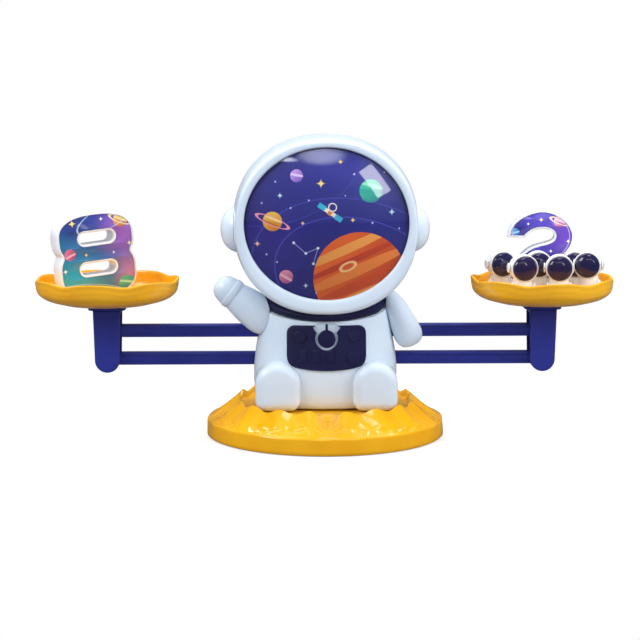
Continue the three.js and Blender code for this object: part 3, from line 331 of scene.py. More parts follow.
yellow_abs = abs_plastic("yellow moulded ABS", "#F6B51E", "#EFA514")
crater_abs = abs_plastic("yellow moulded ABS, polished mould", "#F9B71C", "#F2A812", gloss=(0.07, 0.13),
                         ripple=0.006)
suit_abs = abs_plastic("pale blue moulded ABS", "#DCE9F5", "#D3E3F2", glow=0.12)
navy_abs = abs_plastic("navy moulded ABS", "#2B3391", "#252B7E", gloss=(0.28, 0.36), shine=0.35)
dark_abs = abs_plastic("midnight moulded ABS", "#191A46", "#15153A", gloss=(0.42, 0.52), shine=0.25)
white_abs = abs_plastic("white moulded ABS", "#F6FAFF", "#F0F5FC", glow=0.45)
counter_abs = abs_plastic("milky moulded ABS", "#F0F0ED", "#E6E4DD", glow=0.25)
print("plastics made")

# %% [markdown]
# ## Steel and rubber
# Screws and pins are zinc-plated steel: bright, a little streaky. The feet are pressed rubber, almost
# without gloss.


# %% Steel and rubber
def zinc_plated_steel():
    material, tree, out, where = new_material("zinc-plated steel")
    streak = noise_at(tree, where, 1.2, 4.0)
    shader = add(tree, "ShaderNodeBsdfPrincipled", {
        "Base Color": blended(tree, streak, linear("#B9BCC2"), linear("#A6A9AF")), "Metallic": 1.0,
        "Roughness": spread(tree, streak, 0.22, 0.42)})
    tree.links.new(shader.outputs[0], out.inputs[0])
    return material


def pressed_rubber():
    material, tree, out, where = new_material("pressed rubber")
    grain = noise_at(tree, where, 0.6, 3.0)
    bump = add(tree, "ShaderNodeBump", {"Height": grain, "Strength": 0.5, "Distance": 0.05 * MM})
    shader = add(tree, "ShaderNodeBsdfPrincipled", {
        "Base Color": blended(tree, grain, linear("#2A2A2C"), linear("#3A3A3D")), "Roughness": 0.75,
        "Normal": bump.outputs[0], "IOR": 1.5})
    tree.links.new(shader.outputs[0], out.inputs[0])
    return material


steel = zinc_plated_steel()
rubber = pressed_rubber()
kept = {"rubber_foot": rubber, "screw": steel, "pin": steel, "axle": steel, "weight": steel}
for name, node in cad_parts.items():
    for word, finish in kept.items():
        if word in name:
            node.data.materials.clear()
            node.data.materials.append(finish)
print("hardware kept from the solids:", sum(any(w in n for w in kept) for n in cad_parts))


# %% Put a skin in place of its solid
def stands_for(piece, body, nodes, slot, *finishes):
    piece.data.materials.clear()
    for finish in finishes:
        piece.data.materials.append(finish)
    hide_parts(*nodes)
    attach(piece, body)
    spots = np.array([v.co for v in piece.data.vertices]) / MM
    size = [round(float(c), 1) for c in (*spots.min(0), *spots.max(0))]
    print(piece.name, "mm", size, "faces", len(piece.data.polygons))
    return piece


# %% [markdown]
# ## The base
# The base is one shell like a small crater: a plain wall, a slope of folds that climbs to a ragged rim, a
# dip in the rim at the front and a flat floor inside. Eighteen waves run round the rim. All of it follows
# from an angle and a share of the slope, so rings with a height rule describe it better than any sculpting
# by hand.

# %% Base sizes and its slope
BASE_RADIUS, BASE_LIFT, WALL_HEIGHT, WALL_ROUND, SHELL = 82.0, 0.5, 10.6, 1.4, 2.4
RIM_RADIUS, RIM_HEIGHT, RIM_WAVE, CRATER_FLOOR, CRATER_INSET = 62.0, 25.2, 1.5, 21.5, 3.2
# The dip: how deep it is in mm, how far it spreads in radians, and how far the slope below it stays calm.
NOTCH, NOTCH_TURN, CALM_TURN = 7.8, 0.12, 0.2
# Waves counted once round: of the rim, and of the spurs, folds and pleats that run down the slope.
RIM_CRESTS, SPURS, FOLDS, PLEATS = 18, 9, 23, 31
# The slope is steeper near the rim by this power, and this many rings describe it.
SLOPE_POWER, SLOPE_ROWS, BASE_AROUND = 1.15, 60, 720
base_angle = np.linspace(0, 2 * math.pi, BASE_AROUND, endpoint=False)


def rim_radius(angle):
    return RIM_RADIUS - 2 * np.cos(4 * angle) + 0.35 * np.sin(11 * angle + 0.6)


def from_front(angle):
    return np.arctan2(np.sin(angle), np.cos(angle))


def rim_height(angle):
    turn = from_front(angle)
    crest = -np.cos(RIM_CRESTS * turn) + 0.25 * np.cos(7 * turn + 1.0)
    return RIM_HEIGHT + RIM_WAVE * crest - NOTCH * np.exp(-((turn / NOTCH_TURN) ** 2))


def ridge(wave):
    """A wave with narrow crests and wide valleys, from about -1 to 1."""
    return 1 - 2 * np.sqrt(np.sin(wave) ** 2 + 0.03)


# Pools lie up to POOL_TURN from the front, between two shares of the slope. The ranges of their sizes are
# half a width in radians, half a height as a share of the slope, and a depth in mm.
POOLS, POOL_TURN, POOL_LOW, POOL_SPAN = 84, 1.3, 0.05, 0.42
POOL_WIDE, POOL_TALL, POOL_DEEP = (0.016, 0.038), (0.04, 0.085), (0.4, 0.9)


def glints(share, turn):
    """Small pools pressed into the lower slope. The seed is fixed, so each run presses the same ones."""
    chance = np.random.default_rng(18)
    press = np.zeros_like(turn)
    for _ in range(POOLS):
        place = chance.uniform(-POOL_TURN, POOL_TURN)
        level = POOL_LOW + POOL_SPAN * chance.uniform(0, 1) ** 1.4
        wide, tall, deep = chance.uniform(*POOL_WIDE), chance.uniform(*POOL_TALL), chance.uniform(*POOL_DEEP)
        press += deep * np.exp(-(((turn - place) / wide) ** 2) - ((share - level) / tall) ** 2)
    return np.minimum(press, 1.0)


# Terraces ripple round the lowest point of the dip. Their phase per mm comes first, then their height on
# the slope and on the spillway inside the rim.
TERRACE_WAVE, TERRACE_TALL, STEP_TALL = 1.5, 0.42, 0.4
# How far the spillway runs inwards, and how long the slope below the rim counts as.
SPILL, SLOPE_REACH = 12.0, 18.6


def about_dip(turn, back):
    """How far a place is from the lowest point of the rim, in millimetres. Back counts inwards."""
    return np.sqrt((turn * RIM_RADIUS) ** 2 + back**2)


def slope_height(share, angle):
    bottom, turn = WALL_HEIGHT + WALL_ROUND, from_front(angle)
    ground = bottom + (rim_height(angle) - bottom) * share**SLOPE_POWER
    across = np.sin(math.pi * share**SLOPE_POWER)
    notch = np.exp(-((turn / CALM_TURN) ** 2))
    side = np.sin(turn) ** 6
    spurs = ridge(SPURS * turn + math.pi / 2 + 0.8 * (1 - share) * np.sin(5 * turn + 1.0))
    fine = ridge(FOLDS * turn + 3.0 * share + np.sin(7 * turn))
    pleats = ridge(PLEATS * turn + 1.2 * share)
    folds = (0.8 - 0.3 * side) * spurs + 0.36 * (1 - side) * fine + 0.4 * side * pleats
    ripple = np.sin(about_dip(turn, SLOPE_REACH * (1 - share)) * TERRACE_WAVE)
    terraces = TERRACE_TALL * notch * min(1, 2.5 * share) * ripple
    pools = glints(share, turn) * (1 - notch) * min(1.0, share / 0.06)
    return ground + across * ((1 - notch) * folds + terraces) - pools


# The short wall inside the rim: how far back it goes, and how far it has fallen there.
WALL_BACK, WALL_DOWN = (0.8, 1.5, 2.2, 3.6), (0.25, 0.9, 2.4, 6.0)


def inside_rim(back, crest):
    """The crater's inside, back from the rim: a short wall, or a stepped spillway where the rim is low."""
    fall = np.interp(back, WALL_BACK, WALL_DOWN)
    low = np.minimum(crest, CRATER_FLOOR)
    climb = CRATER_FLOOR - (CRATER_FLOOR - low) * (1 - back / SPILL) ** 1.3
    ripple = np.sin(TERRACE_WAVE * about_dip(from_front(base_angle), back))
    step = ripple * (CRATER_FLOOR - low) / NOTCH
    climb = climb + STEP_TALL * math.sin(math.pi * min(1, back / SPILL)) * step
    return np.where(crest < CRATER_FLOOR, climb, np.maximum(crest - fall, CRATER_FLOOR + 0.02))


def base_rings():
    flat = np.stack([np.sin(base_angle), -np.cos(base_angle)], 1)

    def ring(radius, height):
        rows = np.zeros((BASE_AROUND, 3))
        rows[:, :2] = (radius * np.ones(BASE_AROUND))[:, None] * flat
        rows[:, 2] = height
        return rows

    rings = [ring(BASE_RADIUS - SHELL, BASE_LIFT), ring(BASE_RADIUS - 0.5, BASE_LIFT),
             ring(BASE_RADIUS, BASE_LIFT + 0.5), ring(BASE_RADIUS, 3.0)]
    sway = 0.3 + 0.3 * np.sin(17 * base_angle + 1.4 * np.sin(5 * base_angle))
    rings += [ring(BASE_RADIUS - sway * (z - 3) / 8, z) for z in (5.0, 7.0, 9.0, WALL_HEIGHT)]
    outer = BASE_RADIUS - WALL_ROUND
    for a in np.radians([22, 45, 68, 90]):
        rings.append(ring(outer + (WALL_ROUND - sway) * math.cos(a), WALL_HEIGHT + WALL_ROUND * math.sin(a)))
    rim, crest = rim_radius(base_angle), rim_height(base_angle)
    for share in np.linspace(0, 1, SLOPE_ROWS + 1)[1:]:
        rings.append(ring(outer + (rim - outer) * share, slope_height(share, base_angle)))
    far_back = np.linspace(WALL_BACK[3], SPILL, 17)
    rings += [ring(rim - back, inside_rim(back, crest)) for back in (*WALL_BACK[:3], *far_back)]
    rings += [ring(radius, CRATER_FLOOR) for radius in (40, 20, 0)]
    inner = [(0, CRATER_FLOOR - SHELL), (RIM_RADIUS - 3 * CRATER_INSET, CRATER_FLOOR - SHELL),
             (RIM_RADIUS - 2 * SHELL, RIM_HEIGHT - NOTCH - 2 * SHELL),
             (BASE_RADIUS - SHELL, WALL_HEIGHT - SHELL)]
    return rings + [ring(radius, height) for radius, height in inner]


# %% [markdown]
# Under the base, four ribs and four pads repeat round the middle. Geometry Nodes place them: one rib or pad
# is made once, a circle of points carries the pads, and the ribs turn about the middle by even steps.


# %% Ribs and pads by Geometry Nodes
def socket_id(tree, name):
    return next(s.identifier for s in tree.interface.items_tree if s.name == name and s.in_out == "INPUT")


def new_rule(name, sizes):
    tree = bpy.data.node_groups.new(name, "GeometryNodeTree")
    tree.interface.new_socket("Geometry", in_out="OUTPUT", socket_type="NodeSocketGeometry")
    for key, value in sizes.items():
        kind = "NodeSocketInt" if isinstance(value, int) else "NodeSocketFloat"
        tree.interface.new_socket(key, in_out="INPUT", socket_type=kind)
    return tree, add(tree, "NodeGroupInput"), add(tree, "NodeGroupOutput")


def grown(name, tree, sizes, sharp=CRISP):
    """The tree's result as a plain mesh, with the modifier gone."""
    holder = piece_of(name, bpy.data.meshes.new(name))
    rule = holder.modifiers.new("rule", "NODES")
    rule.node_group = tree
    for key, value in sizes.items():
        rule[socket_id(tree, key)] = value
    settle(holder, sharp)
    mesh = holder.data
    bpy.data.objects.remove(holder)
    return mesh


def finish_rule(tree, out, shape, material):
    real = add(tree, "GeometryNodeRealizeInstances", {"Geometry": shape})
    coloured = add(tree, "GeometryNodeSetMaterial", {"Geometry": real.outputs[0], "Material": material})
    tree.links.new(coloured.outputs[0], out.inputs[0])


STIFFENERS = {"Count": 4, "Circle": 69 * MM,
              "Pad Radius": 7 * MM, "Pad Height": 9.4 * MM, "Pad Bottom": 2 * MM,
              "Rib Length": 50 * MM, "Rib Height": 14.5 * MM, "Rib Thickness": 1.8 * MM, "Rib Bottom": 5 * MM}


def stiffener_rule():
    tree, given, out = new_rule("base stiffeners", STIFFENERS)
    size = given.outputs
    circle_points = add(tree, "GeometryNodeMeshCircle", {"Vertices": size["Count"], "Radius": size["Circle"]})
    turned_circle = add(tree, "GeometryNodeTransform", {"Geometry": circle_points.outputs[0],
                                                        "Rotation": Euler((0, 0, math.radians(45)))})
    pad = add(tree, "GeometryNodeMeshCylinder", {"Vertices": 40, "Radius": size["Pad Radius"],
                                                 "Depth": size["Pad Height"]})
    lift = maths(tree, "MULTIPLY_ADD", size["Pad Height"], 0.5, size["Pad Bottom"])
    up = add(tree, "ShaderNodeCombineXYZ", {"Z": lift}).outputs[0]
    pad_up = add(tree, "GeometryNodeTransform", {"Geometry": pad.outputs[0], "Translation": up})
    pads = add(tree, "GeometryNodeInstanceOnPoints", {"Points": turned_circle.outputs[0],
                                                      "Instance": pad_up.outputs[0]})
    rib_size = add(tree, "ShaderNodeCombineXYZ", {"X": size["Rib Length"], "Y": size["Rib Thickness"],
                                                  "Z": size["Rib Height"]})
    rib = add(tree, "GeometryNodeMeshCube", {"Size": rib_size.outputs[0]})
    half_out = maths(tree, "MULTIPLY", size["Rib Length"], 0.5)
    half_up = maths(tree, "MULTIPLY_ADD", size["Rib Height"], 0.5, size["Rib Bottom"])
    rib_place = add(tree, "ShaderNodeCombineXYZ", {"X": half_out, "Z": half_up}).outputs[0]
    rib_out = add(tree, "GeometryNodeTransform", {"Geometry": rib.outputs[0], "Translation": rib_place})
    centre = add(tree, "GeometryNodePoints", {"Count": size["Count"]})
    step = maths(tree, "DIVIDE", 2 * math.pi, size["Count"])
    turn = maths(tree, "MULTIPLY", add(tree, "GeometryNodeInputIndex").outputs[0], step)
    about = add(tree, "ShaderNodeCombineXYZ", {"Z": turn}).outputs[0]
    ribs = add(tree, "GeometryNodeInstanceOnPoints", {"Points": centre.outputs[0], "Rotation": about,
                                                      "Instance": rib_out.outputs[0]})
    both = add(tree, "GeometryNodeJoinGeometry")
    tree.links.new(pads.outputs[0], both.inputs[0])
    tree.links.new(ribs.outputs[0], both.inputs[0])
    finish_rule(tree, out, both.outputs[0], crater_abs)
    return tree


stiffeners = grown("base stiffeners", stiffener_rule(), STIFFENERS)
shell = skin("crater", base_rings(), tube=True)
base = piece_of("crater_base", merged("crater_base", [shell, stiffeners], 50))
stands_for(base, "stand", ["base_shell"], "yellow_plastic", crater_abs)

# %% [markdown]
# ## The body
# The body is a pear, moulded in a front and a back half, with two short legs on the front half. A
# superellipse gives its slices: rounder than a box, fuller than a circle. The neck plane leans forward, so
# a tilted block trims the top, and a tall slot on each side lets the two beams pass and tip.

# %% Body sizes and halves
BODY_WIDTH, BODY_DEPTH, BODY_TALL, BODY_BOTTOM, SQUARE = 99.0, 76.0, 80.0, 21.8, 2.35
NECK_HEIGHT, NECK_TILT, SEAM, WALL = 91.5, math.radians(15), 0.3, 2.4
UPPER_BEAM, LOWER_BEAM, BEAM_TALL, BEAM_ROOM, PIN_DROP, TIP = 72.2, 52.9, 8.5, 5.5, 1.2, math.radians(10)
# Cutting blocks reach this far sideways and this far up, well past the whole toy.
PAST, ABOVE = 200, 300
pear_side = through([(0.80, 0.0), (0.885, 0.012), (0.945, 0.04), (0.985, 0.12), (1, 0.3), (0.975, 0.47),
                     (0.93, 0.62), (0.885, 0.78), (0.82, 0.92), (0.7, 1)], 8)
pear_line = np.vstack([[0, 0], [0.5, 0], pear_side, [0, 1]])


def squashed(rings, half_x, half_y, power):
    angle = np.arctan2(rings[..., 0], -rings[..., 1])
    stretch = (np.abs(np.sin(angle)) ** power + np.abs(np.cos(angle)) ** power) ** (-1 / power)
    out = rings.copy()
    out[..., 0] *= stretch * half_x
    out[..., 1] *= stretch * half_y
    return out


def pear(grow, around=144):
    rings = squashed(turned(pear_line, around), BODY_WIDTH / 2 + grow, BODY_DEPTH / 2 + grow, SQUARE)
    rings[..., 2] = BODY_BOTTOM - grow + rings[..., 2] * (BODY_TALL + 2 * grow)
    return rings


def pear_front(x, z, grow=0.0):
    """The depth of the pear's front at a place seen from the front."""
    share = (z - BODY_BOTTOM + grow) / (BODY_TALL + 2 * grow)
    reach = np.interp(share, pear_line[1:-1, 1], pear_line[1:-1, 0])
    across = np.clip(np.abs(x) / ((BODY_WIDTH / 2 + grow) * reach), 0, 0.999)
    return -(BODY_DEPTH / 2 + grow) * reach * (1 - across**SQUARE) ** (1 / SQUARE)


neck_place = Matrix.Translation((0, 0, NECK_HEIGHT)) @ Matrix.Rotation(NECK_TILT, 4, "X")


def above_neck(rise):
    return block((-PAST, -PAST, rise), (PAST, PAST, PAST), neck_place)


def leg(x):
    """One leg: an arch with a softly domed sole, on a tube that runs back into the body."""
    half, low, tall, front, corner = 15.3, BODY_BOTTOM, 33.8, -43.0, 7
    side = through([(half, low + 8), (half, low + 13), (half, low + tall - half)], 4).tolist()
    arch = rounded((0, low + tall - half), 0, 180, half, 29)[1:-1]
    right = rounded((half - corner, low + corner), 270, 360, corner, 8) + side
    left = [(-a, b) for a, b in right[::-1]]
    loop = [(x + a, b) for a, b in right + arch + left]
    path = [(0, -14), (0, front + 8.2), (0.12, front + 7.0)]
    bend = np.radians(np.linspace(8, 90, 12))
    path += [(0.25 + 6.2 * (1 - math.cos(a)), front + 6.4 - 6.4 * math.sin(a)) for a in bend]
    return plate("leg", [loop], path, sharp=50)


def body_half(name, front):
    inside = skin("body inside", pear(-WALL, 96))
    half = piece_of(name, skin("body outside", pear(0)))
    if front:
        carve(half, leg(-33), "UNION")
        carve(half, leg(33), "UNION")
    carve(half, inside)
    carve(half, above_neck(0))
    swing = BODY_WIDTH / 2 * math.sin(TIP) + BEAM_TALL / 2 + 0.4
    beam_way = rectangle((-60, LOWER_BEAM - swing), (60, UPPER_BEAM + swing), 0.5)
    carve(half, plate("beam way", [beam_way], edge(BEAM_ROOM, -BEAM_ROOM, 0.1, 0.1)))
    depth = (-PAST, -SEAM / 4) if front else (SEAM / 4, PAST)
    return carve(half, block((-PAST, depth[0], -PAST), (PAST, depth[1], ABOVE)), "INTERSECT", sharp=40)


body_front = body_half("body_front_half", True)
body_back = body_half("body_back_half", False)
stands_for(body_back, "stand", ["body_back"], "suit_plastic", suit_abs)

# %% [markdown]
# ## The chest panel and the pointer
# The panel is a thin dark moulding that lies on the curved chest. A window in it shows a round pointer on
# the upper beam's axle. The panel is drawn flat, filled with a fine triangle grid, and then each point is
# laid on the pear.

# %% Panel, relief, window and pointer
PANEL_HALF, PANEL_TOP, PANEL_SIDE, PANEL_TALL, PANEL_CORNER = 26.8, 80.0, 26.6, 30.4, 5.6
DIAL_RADIUS, DIAL_HEIGHT, FAN_RADIUS, FAN_HALF = 7.75, UPPER_BEAM - 0.9, 11.9, 51


def window_loop(grow=0.0):
    """The window's outline: a fan above a round dial, joined by small lips."""
    dial, fan = DIAL_RADIUS + grow, FAN_RADIUS + grow
    fan_arc = rounded((0, DIAL_HEIGHT), 90 - FAN_HALF, 90 + FAN_HALF, fan, 22)
    low_arc = rounded((0, DIAL_HEIGHT), 150, 390, dial, 44)
    return fan_arc + low_arc


def panel_loop():
    half, bottom = PANEL_HALF, PANEL_TOP - PANEL_SIDE
    top = PANEL_TOP - PANEL_CORNER
    right = rounded((half - PANEL_CORNER, top), 90, 0, PANEL_CORNER, 9)
    right += [(half, bottom + 9), (half, bottom + 6)]
    corner = [(half - 0.35, bottom + 3.4), (half - 1.3, bottom + 1.2), (half - 3.2, bottom - 0.6),
              (half - 6.2, bottom - 1.8)]
    belly = [(x, bottom - 1.8 - 1.9 * (1 - (x / (half - 6.2)) ** 2)) for x in np.linspace(half - 9, 0, 9)]
    down = right + corner + belly
    lip = [(7.5, PANEL_TOP), (9.3, DIAL_HEIGHT + 7.4)]
    dial = rounded((0, DIAL_HEIGHT), 30, -210, DIAL_RADIUS, 50)
    notch = lip + dial + [(-x, z) for x, z in lip[::-1]]
    return [(-x, z) for x, z in down[:-1]] + [(x, z) for x, z in down[::-1]] + notch


def filled(loops, spacing):
    """Flat points and triangles that fill an outline and leave its holes open."""
    points, edges = [], []
    for loop in loops:
        start, around = len(points), len(loop)
        points += [Vector(p) for p in loop]
        edges += [(start + k, start + (k + 1) % around) for k in range(around)]
    low, high = np.array(loops[0]).min(0), np.array(loops[0]).max(0)
    for x in np.arange(low[0] + spacing, high[0], spacing):
        points += [Vector((x, z)) for z in np.arange(low[1] + spacing, high[1], spacing)]
    flat, _, faces, _, _, _ = geometry.delaunay_2d_cdt(points, edges, [], 0, 1e-6)

    def inside(x, z, loop):
        count = 0
        for (ax, az), (bx, bz) in zip(loop, loop[1:] + loop[:1]):
            if (az > z) != (bz > z) and x < (bx - ax) * (z - az) / (bz - az) + ax:
                count += 1
        return count % 2 == 1

    chosen = []
    for face in faces:
        x, z = sum((flat[i] for i in face), Vector((0, 0))) / len(face)
        if inside(x, z, loops[0]) and not any(inside(x, z, hole) for hole in loops[1:]):
            chosen.append(tuple(face))
    return [tuple(p) for p in flat], chosen


def laid_on_chest(name, loops, lift, thick, rim=0.35, spacing=1.6):
    """A plate that follows the chest: its outer face stands lift out from it, with a softened rim."""
    flat, triangles = filled(loops, spacing)

    def laid(points, away):
        x, z = np.array(points).T
        return np.stack([x, pear_front(x, z, away), z], 1).tolist()

    points = laid(flat, lift)
    faces = [tuple(reversed(f)) for f in triangles]
    for loop in loops:
        around = len(loop)
        rows = [laid(loop, lift), laid(inset(loop, -rim * 0.3), lift - rim * 0.3),
                laid(inset(loop, -rim), lift - rim), laid(inset(loop, -rim), lift - thick)]
        start = len(points)
        points += [p for row in rows for p in row]
        for row in range(len(rows) - 1):
            for k in range(around):
                a, b = start + row * around + k, start + row * around + (k + 1) % around
                faces.append((a, b, b + around, a + around))
    return mesh_of(name, points, faces, 40)


def within(loop, amount):
    """The inset outline as plain pairs."""
    return [tuple(p) for p in inset(loop, amount)]


panel = laid_on_chest("panel", [within(panel_loop(), 0.35)], lift=1.4, thick=1.3)
relief = []
for across, down in ((-0.67, 0.24), (0.7, 0.23), (0.68, 0.71)):
    knob = circle(across * PANEL_HALF, PANEL_TOP - down * PANEL_TALL, 4.2, 30)
    relief.append(laid_on_chest("knob", [within(knob, 0.4)], lift=2.4, thick=1.2, rim=0.4, spacing=1.4))
for across in (-0.6, -0.27, 0.09):
    x, z = across * PANEL_HALF, PANEL_TOP - 0.67 * PANEL_TALL
    key = rectangle((x - 2.3, z - 3.8), (x + 2.3, z + 3.8), 0.6, 3)
    relief.append(laid_on_chest("key", [key], lift=2.2, thick=1.0, rim=0.35, spacing=1.4))
chest_panel = piece_of("chest_panel_skin", merged("chest_panel_skin", [panel, *relief], 40))
stands_for(chest_panel, "stand", ["chest_panel"], "dark_plastic", dark_abs)

carve(body_front, plate("window room", [window_loop(-0.05)], edge(-30, -60, 0.1, 0.1)))
dial_floor = laid_on_chest("dial floor", [circle(0, DIAL_HEIGHT, FAN_RADIUS + 1)], -0.9, 1.4)
body_front.data = merged("body_front_half", [body_front.data, dial_floor], 40)
stands_for(body_front, "stand", ["body_front"], "suit_plastic", suit_abs)

flank = [(0.9, 5.7), (0.8, 9.6), (0.4, 10.1)]
needle = [(x, DIAL_HEIGHT + z) for x, z in flank] + [(-x, DIAL_HEIGHT + z) for x, z in flank[::-1]]
pointer_loop = rounded((0, DIAL_HEIGHT), 99, 441, 6.0, 60) + needle
pointer = piece_of("pointer_skin", plate("pointer_skin", [pointer_loop], edge(-36.1, -38.5, 0.1, 0.5)))
stands_for(pointer, "upper_link", ["pointer"], "dark_plastic", dark_abs)

# %% [markdown]
# ## Collar, arms and ear pods
# The collar is a soft band that rings the neck and hides the joint of helmet and body. The arms are turned
# shapes laid over to one side and flattened a little: one waves, with a cuff and a mitten, and one hangs
# down. The pods are half an ellipsoid each.

# %% Collar
COLLAR_OVAL, COLLAR_TOP, COLLAR_ROOM = 75 / 85, 6.1, 43


def placed(rings, place):
    """The rings carried to a place of their own."""
    return np.array([place @ Vector(p) for p in rings.reshape(-1, 3)]).reshape(rings.shape)


def collar():
    outer, thick, band = 42.5, 6.0, 8.0
    half, high = thick / 2, (thick - SEAM) / 2
    bend = np.linspace(-math.pi / 2, math.pi / 2, 15)
    line = [(outer - band, SEAM)]
    line += [(outer - half + half * math.cos(a), half + SEAM / 2 + high * math.sin(a)) for a in bend]
    rings = turned(line + [(outer - band, thick)], 144)
    rings[..., 1] *= COLLAR_OVAL
    return skin("collar_skin", placed(rings, neck_place), tube=True, sharp=50)


stands_for(piece_of("collar_skin", collar()), "stand", ["collar"], "dark_plastic", dark_abs)

# %% Arms
ARM_DEPTH, ARM_CENTRE = 0.88, -9.0


def arm(name, line, shoulder, hand):
    """An arm turned from [radius, share of its length] points and laid from shoulder to hand."""
    line = np.array(line, float)
    line[:, 1] *= math.dist(shoulder, hand)
    along = Vector((hand[0] - shoulder[0], hand[1] - shoulder[1]))
    rings = turned(line, 72)
    rings[..., 1] *= ARM_DEPTH
    lean = Matrix.Rotation(math.atan2(along.x, along.y), 4, "Y")
    lean = Matrix.Translation((shoulder[0], ARM_CENTRE, shoulder[1])) @ lean
    piece = piece_of(name, skin(name, placed(rings, lean), sharp=50))
    carve(piece, skin("body outside", pear(0.25)))
    carve(piece, helmet_block(0.3))
    room = turned([(0, -0.25), (COLLAR_ROOM, -0.25), (COLLAR_ROOM, 60), (0, 60)], 120)
    room[..., 1] *= COLLAR_OVAL
    carve(piece, skin("collar room", placed(room, neck_place)))
    return carve(piece, block((-PAST, -BEAM_ROOM, 0), (PAST, PAST, ABOVE)), sharp=50)


HELMET_HEIGHT, HELMET_HALF_X, HELMET_HALF_Z, HELMET_SQUARE = 146.0, 63.4, 61.0, 2.18
HELMET_BACK, HELMET_BELT, HELMET_FRONT = 48.0, 6.0, -40.4
OPENING_X, OPENING_Z, OPENING_HEIGHT = 55.2, 50.9, 148.6


def helmet_ring(y, share, grow=0.0, ease=0.0, around=160):
    """One slice of the helmet at a depth. ease goes from the helmet's outline, 0, to the opening's, 1."""
    angle = np.linspace(0, 2 * math.pi, around, endpoint=False)
    half_x = (HELMET_HALF_X + grow) * (1 - ease) + OPENING_X * ease
    half_z = (HELMET_HALF_Z + grow) * (1 - ease) + OPENING_Z * ease
    middle = HELMET_HEIGHT * (1 - ease) + OPENING_HEIGHT * ease
    power = HELMET_SQUARE * (1 - ease) + 2 * ease
    full = (np.abs(np.sin(angle)) ** power + np.abs(np.cos(angle)) ** power) ** (-1 / power)
    ring = np.zeros((around, 3))
    ring[:, 0] = half_x * share * full * np.sin(angle)
    ring[:, 1] = y
    ring[:, 2] = middle - half_z * share * full * np.cos(angle)
    return ring


def helmet_back_line(grow=0.0, steps=18):
    """[depth, share of the outline] from the back pole to the widest place."""
    reach = HELMET_BACK - HELMET_BELT + grow
    return [(HELMET_BELT + reach * math.cos(a), math.sin(a)) for a in np.linspace(0, math.pi / 2, steps)]


def helmet_block(grow):
    line = helmet_back_line(grow) + [(-20, 0.985), (HELMET_FRONT - grow, 0.96), (HELMET_FRONT - grow, 0)]
    return skin("helmet block", [helmet_ring(y, share, grow) for y, share in line])


sleeve = through([(5, 0.01), (10.2, 0.05), (12.7, 0.18), (12.3, 0.4), (10.9, 0.58), (9.9, 0.675)], 6).tolist()
cuff = [(10.25, 0.685), (10.45, 0.70), (10.45, 0.755), (10.25, 0.77)]
mitten = through([(9.75, 0.78), (9.5, 0.82), (8.6, 0.89), (6.4, 0.955), (3.4, 0.99)], 6).tolist()
left_arm = arm("raised_arm", [(0, 0), *sleeve, *cuff, *mitten, (0, 1)], (-36.2, 77.4), (-74.4, 106.8))
stands_for(left_arm, "stand", ["left_arm"], "suit_plastic", suit_abs)

lowered = through([(2, 0.005), (3.9, 0.03), (6.7, 0.2), (8.3, 0.44), (9.3, 0.62), (9.8, 0.78), (9.0, 0.88),
                   (6.9, 0.955), (3.9, 0.99)], 7).tolist()
right_arm = arm("lowered_arm", [(0, 0), *lowered, (0, 1)], (43.7, 99.2), (60.4, 62.6))
stands_for(right_arm, "stand", ["right_arm"], "suit_plastic", suit_abs)

# %% Ear pods
for side, name in ((-1, "left"), (1, "right")):
    start, end, radius, bulge = 51.9, 71.8, 16.2, 13.5
    bend = np.linspace(0, math.pi / 2, 18)
    cap = [(end - bulge + bulge * math.sin(a), radius * math.cos(a) ** 0.9) for a in bend]
    line = [(start, 0), (start, radius), *cap]
    rings = turned([(r, x) for x, r in line], 96)
    spots = np.stack([side * rings[..., 2], rings[..., 1], 142.3 + side * rings[..., 0]], -1)
    pod = piece_of(f"{name}_pod", skin(f"{name}_pod", spots))
    carve(pod, helmet_block(0.25), sharp=40)
    stands_for(pod, "stand", [f"ear_pod_{name}"], "suit_plastic", suit_abs)

# %% [markdown]
# ## Helmet
# The helmet is moulded in two cups that meet a little behind the ears. Its front cup turns in over a soft
# bezel to a wide oval opening. Rings that drift from one oval to the other make that turn without a crease.

# %% Helmet cups
below_collar = block((-PAST, -PAST, -PAST), (PAST, PAST, COLLAR_TOP), neck_place)
back_seam, front_seam = HELMET_BELT + SEAM / 2, HELMET_BELT - SEAM / 2
back_rings = [helmet_ring(max(y, back_seam), share) for y, share in helmet_back_line()]
back_rings += [helmet_ring(max(y, back_seam), share, -WALL) for y, share in helmet_back_line(-WALL)[::-1]]
back_cup = piece_of("helmet_back_cup", skin("helmet_back_cup", back_rings, sharp=50))
carve(back_cup, below_collar, sharp=50)
stands_for(back_cup, "stand", ["helmet_back"], "suit_plastic", suit_abs)

front_line = [(front_seam, 1.0, 0.0), (0, 0.9985, 0.0), (-10, 0.993, 0.0), (-20, 0.984, 0.0),
              (-28, 0.975, 0.0), (-33.5, 0.968, 0.01), (-36.6, 0.9635, 0.03), (-38.6, 0.96, 0.06),
              (-39.8, 0.957, 0.12), (-40.3, 0.9545, 0.2), (-40.4, 0.955, 0.3), (-40.4, 0.96, 0.45),
              (-40.35, 0.968, 0.6), (-40.2, 0.98, 0.75), (-39.8, 0.99, 0.88), (-39.2, 0.997, 0.96),
              (-38.4, 1.0, 1.0), (-33.2, 1.0, 1.0)]
inner_line = [(-33.2, 0.955), (-20, 0.975), (0, 0.99), (front_seam, 0.992)]
front_rings = [helmet_ring(y, share, 0, ease) for y, share, ease in front_line]
front_rings += [helmet_ring(y, share, -WALL) for y, share in inner_line]
front_cup = piece_of("helmet_front_cup", skin("helmet_front_cup", front_rings, tube=True, sharp=50))
carve(front_cup, above_neck(0), "INTERSECT")
carve(front_cup, below_collar, sharp=50)
stands_for(front_cup, "stand", ["helmet_front"], "suit_plastic", suit_abs)

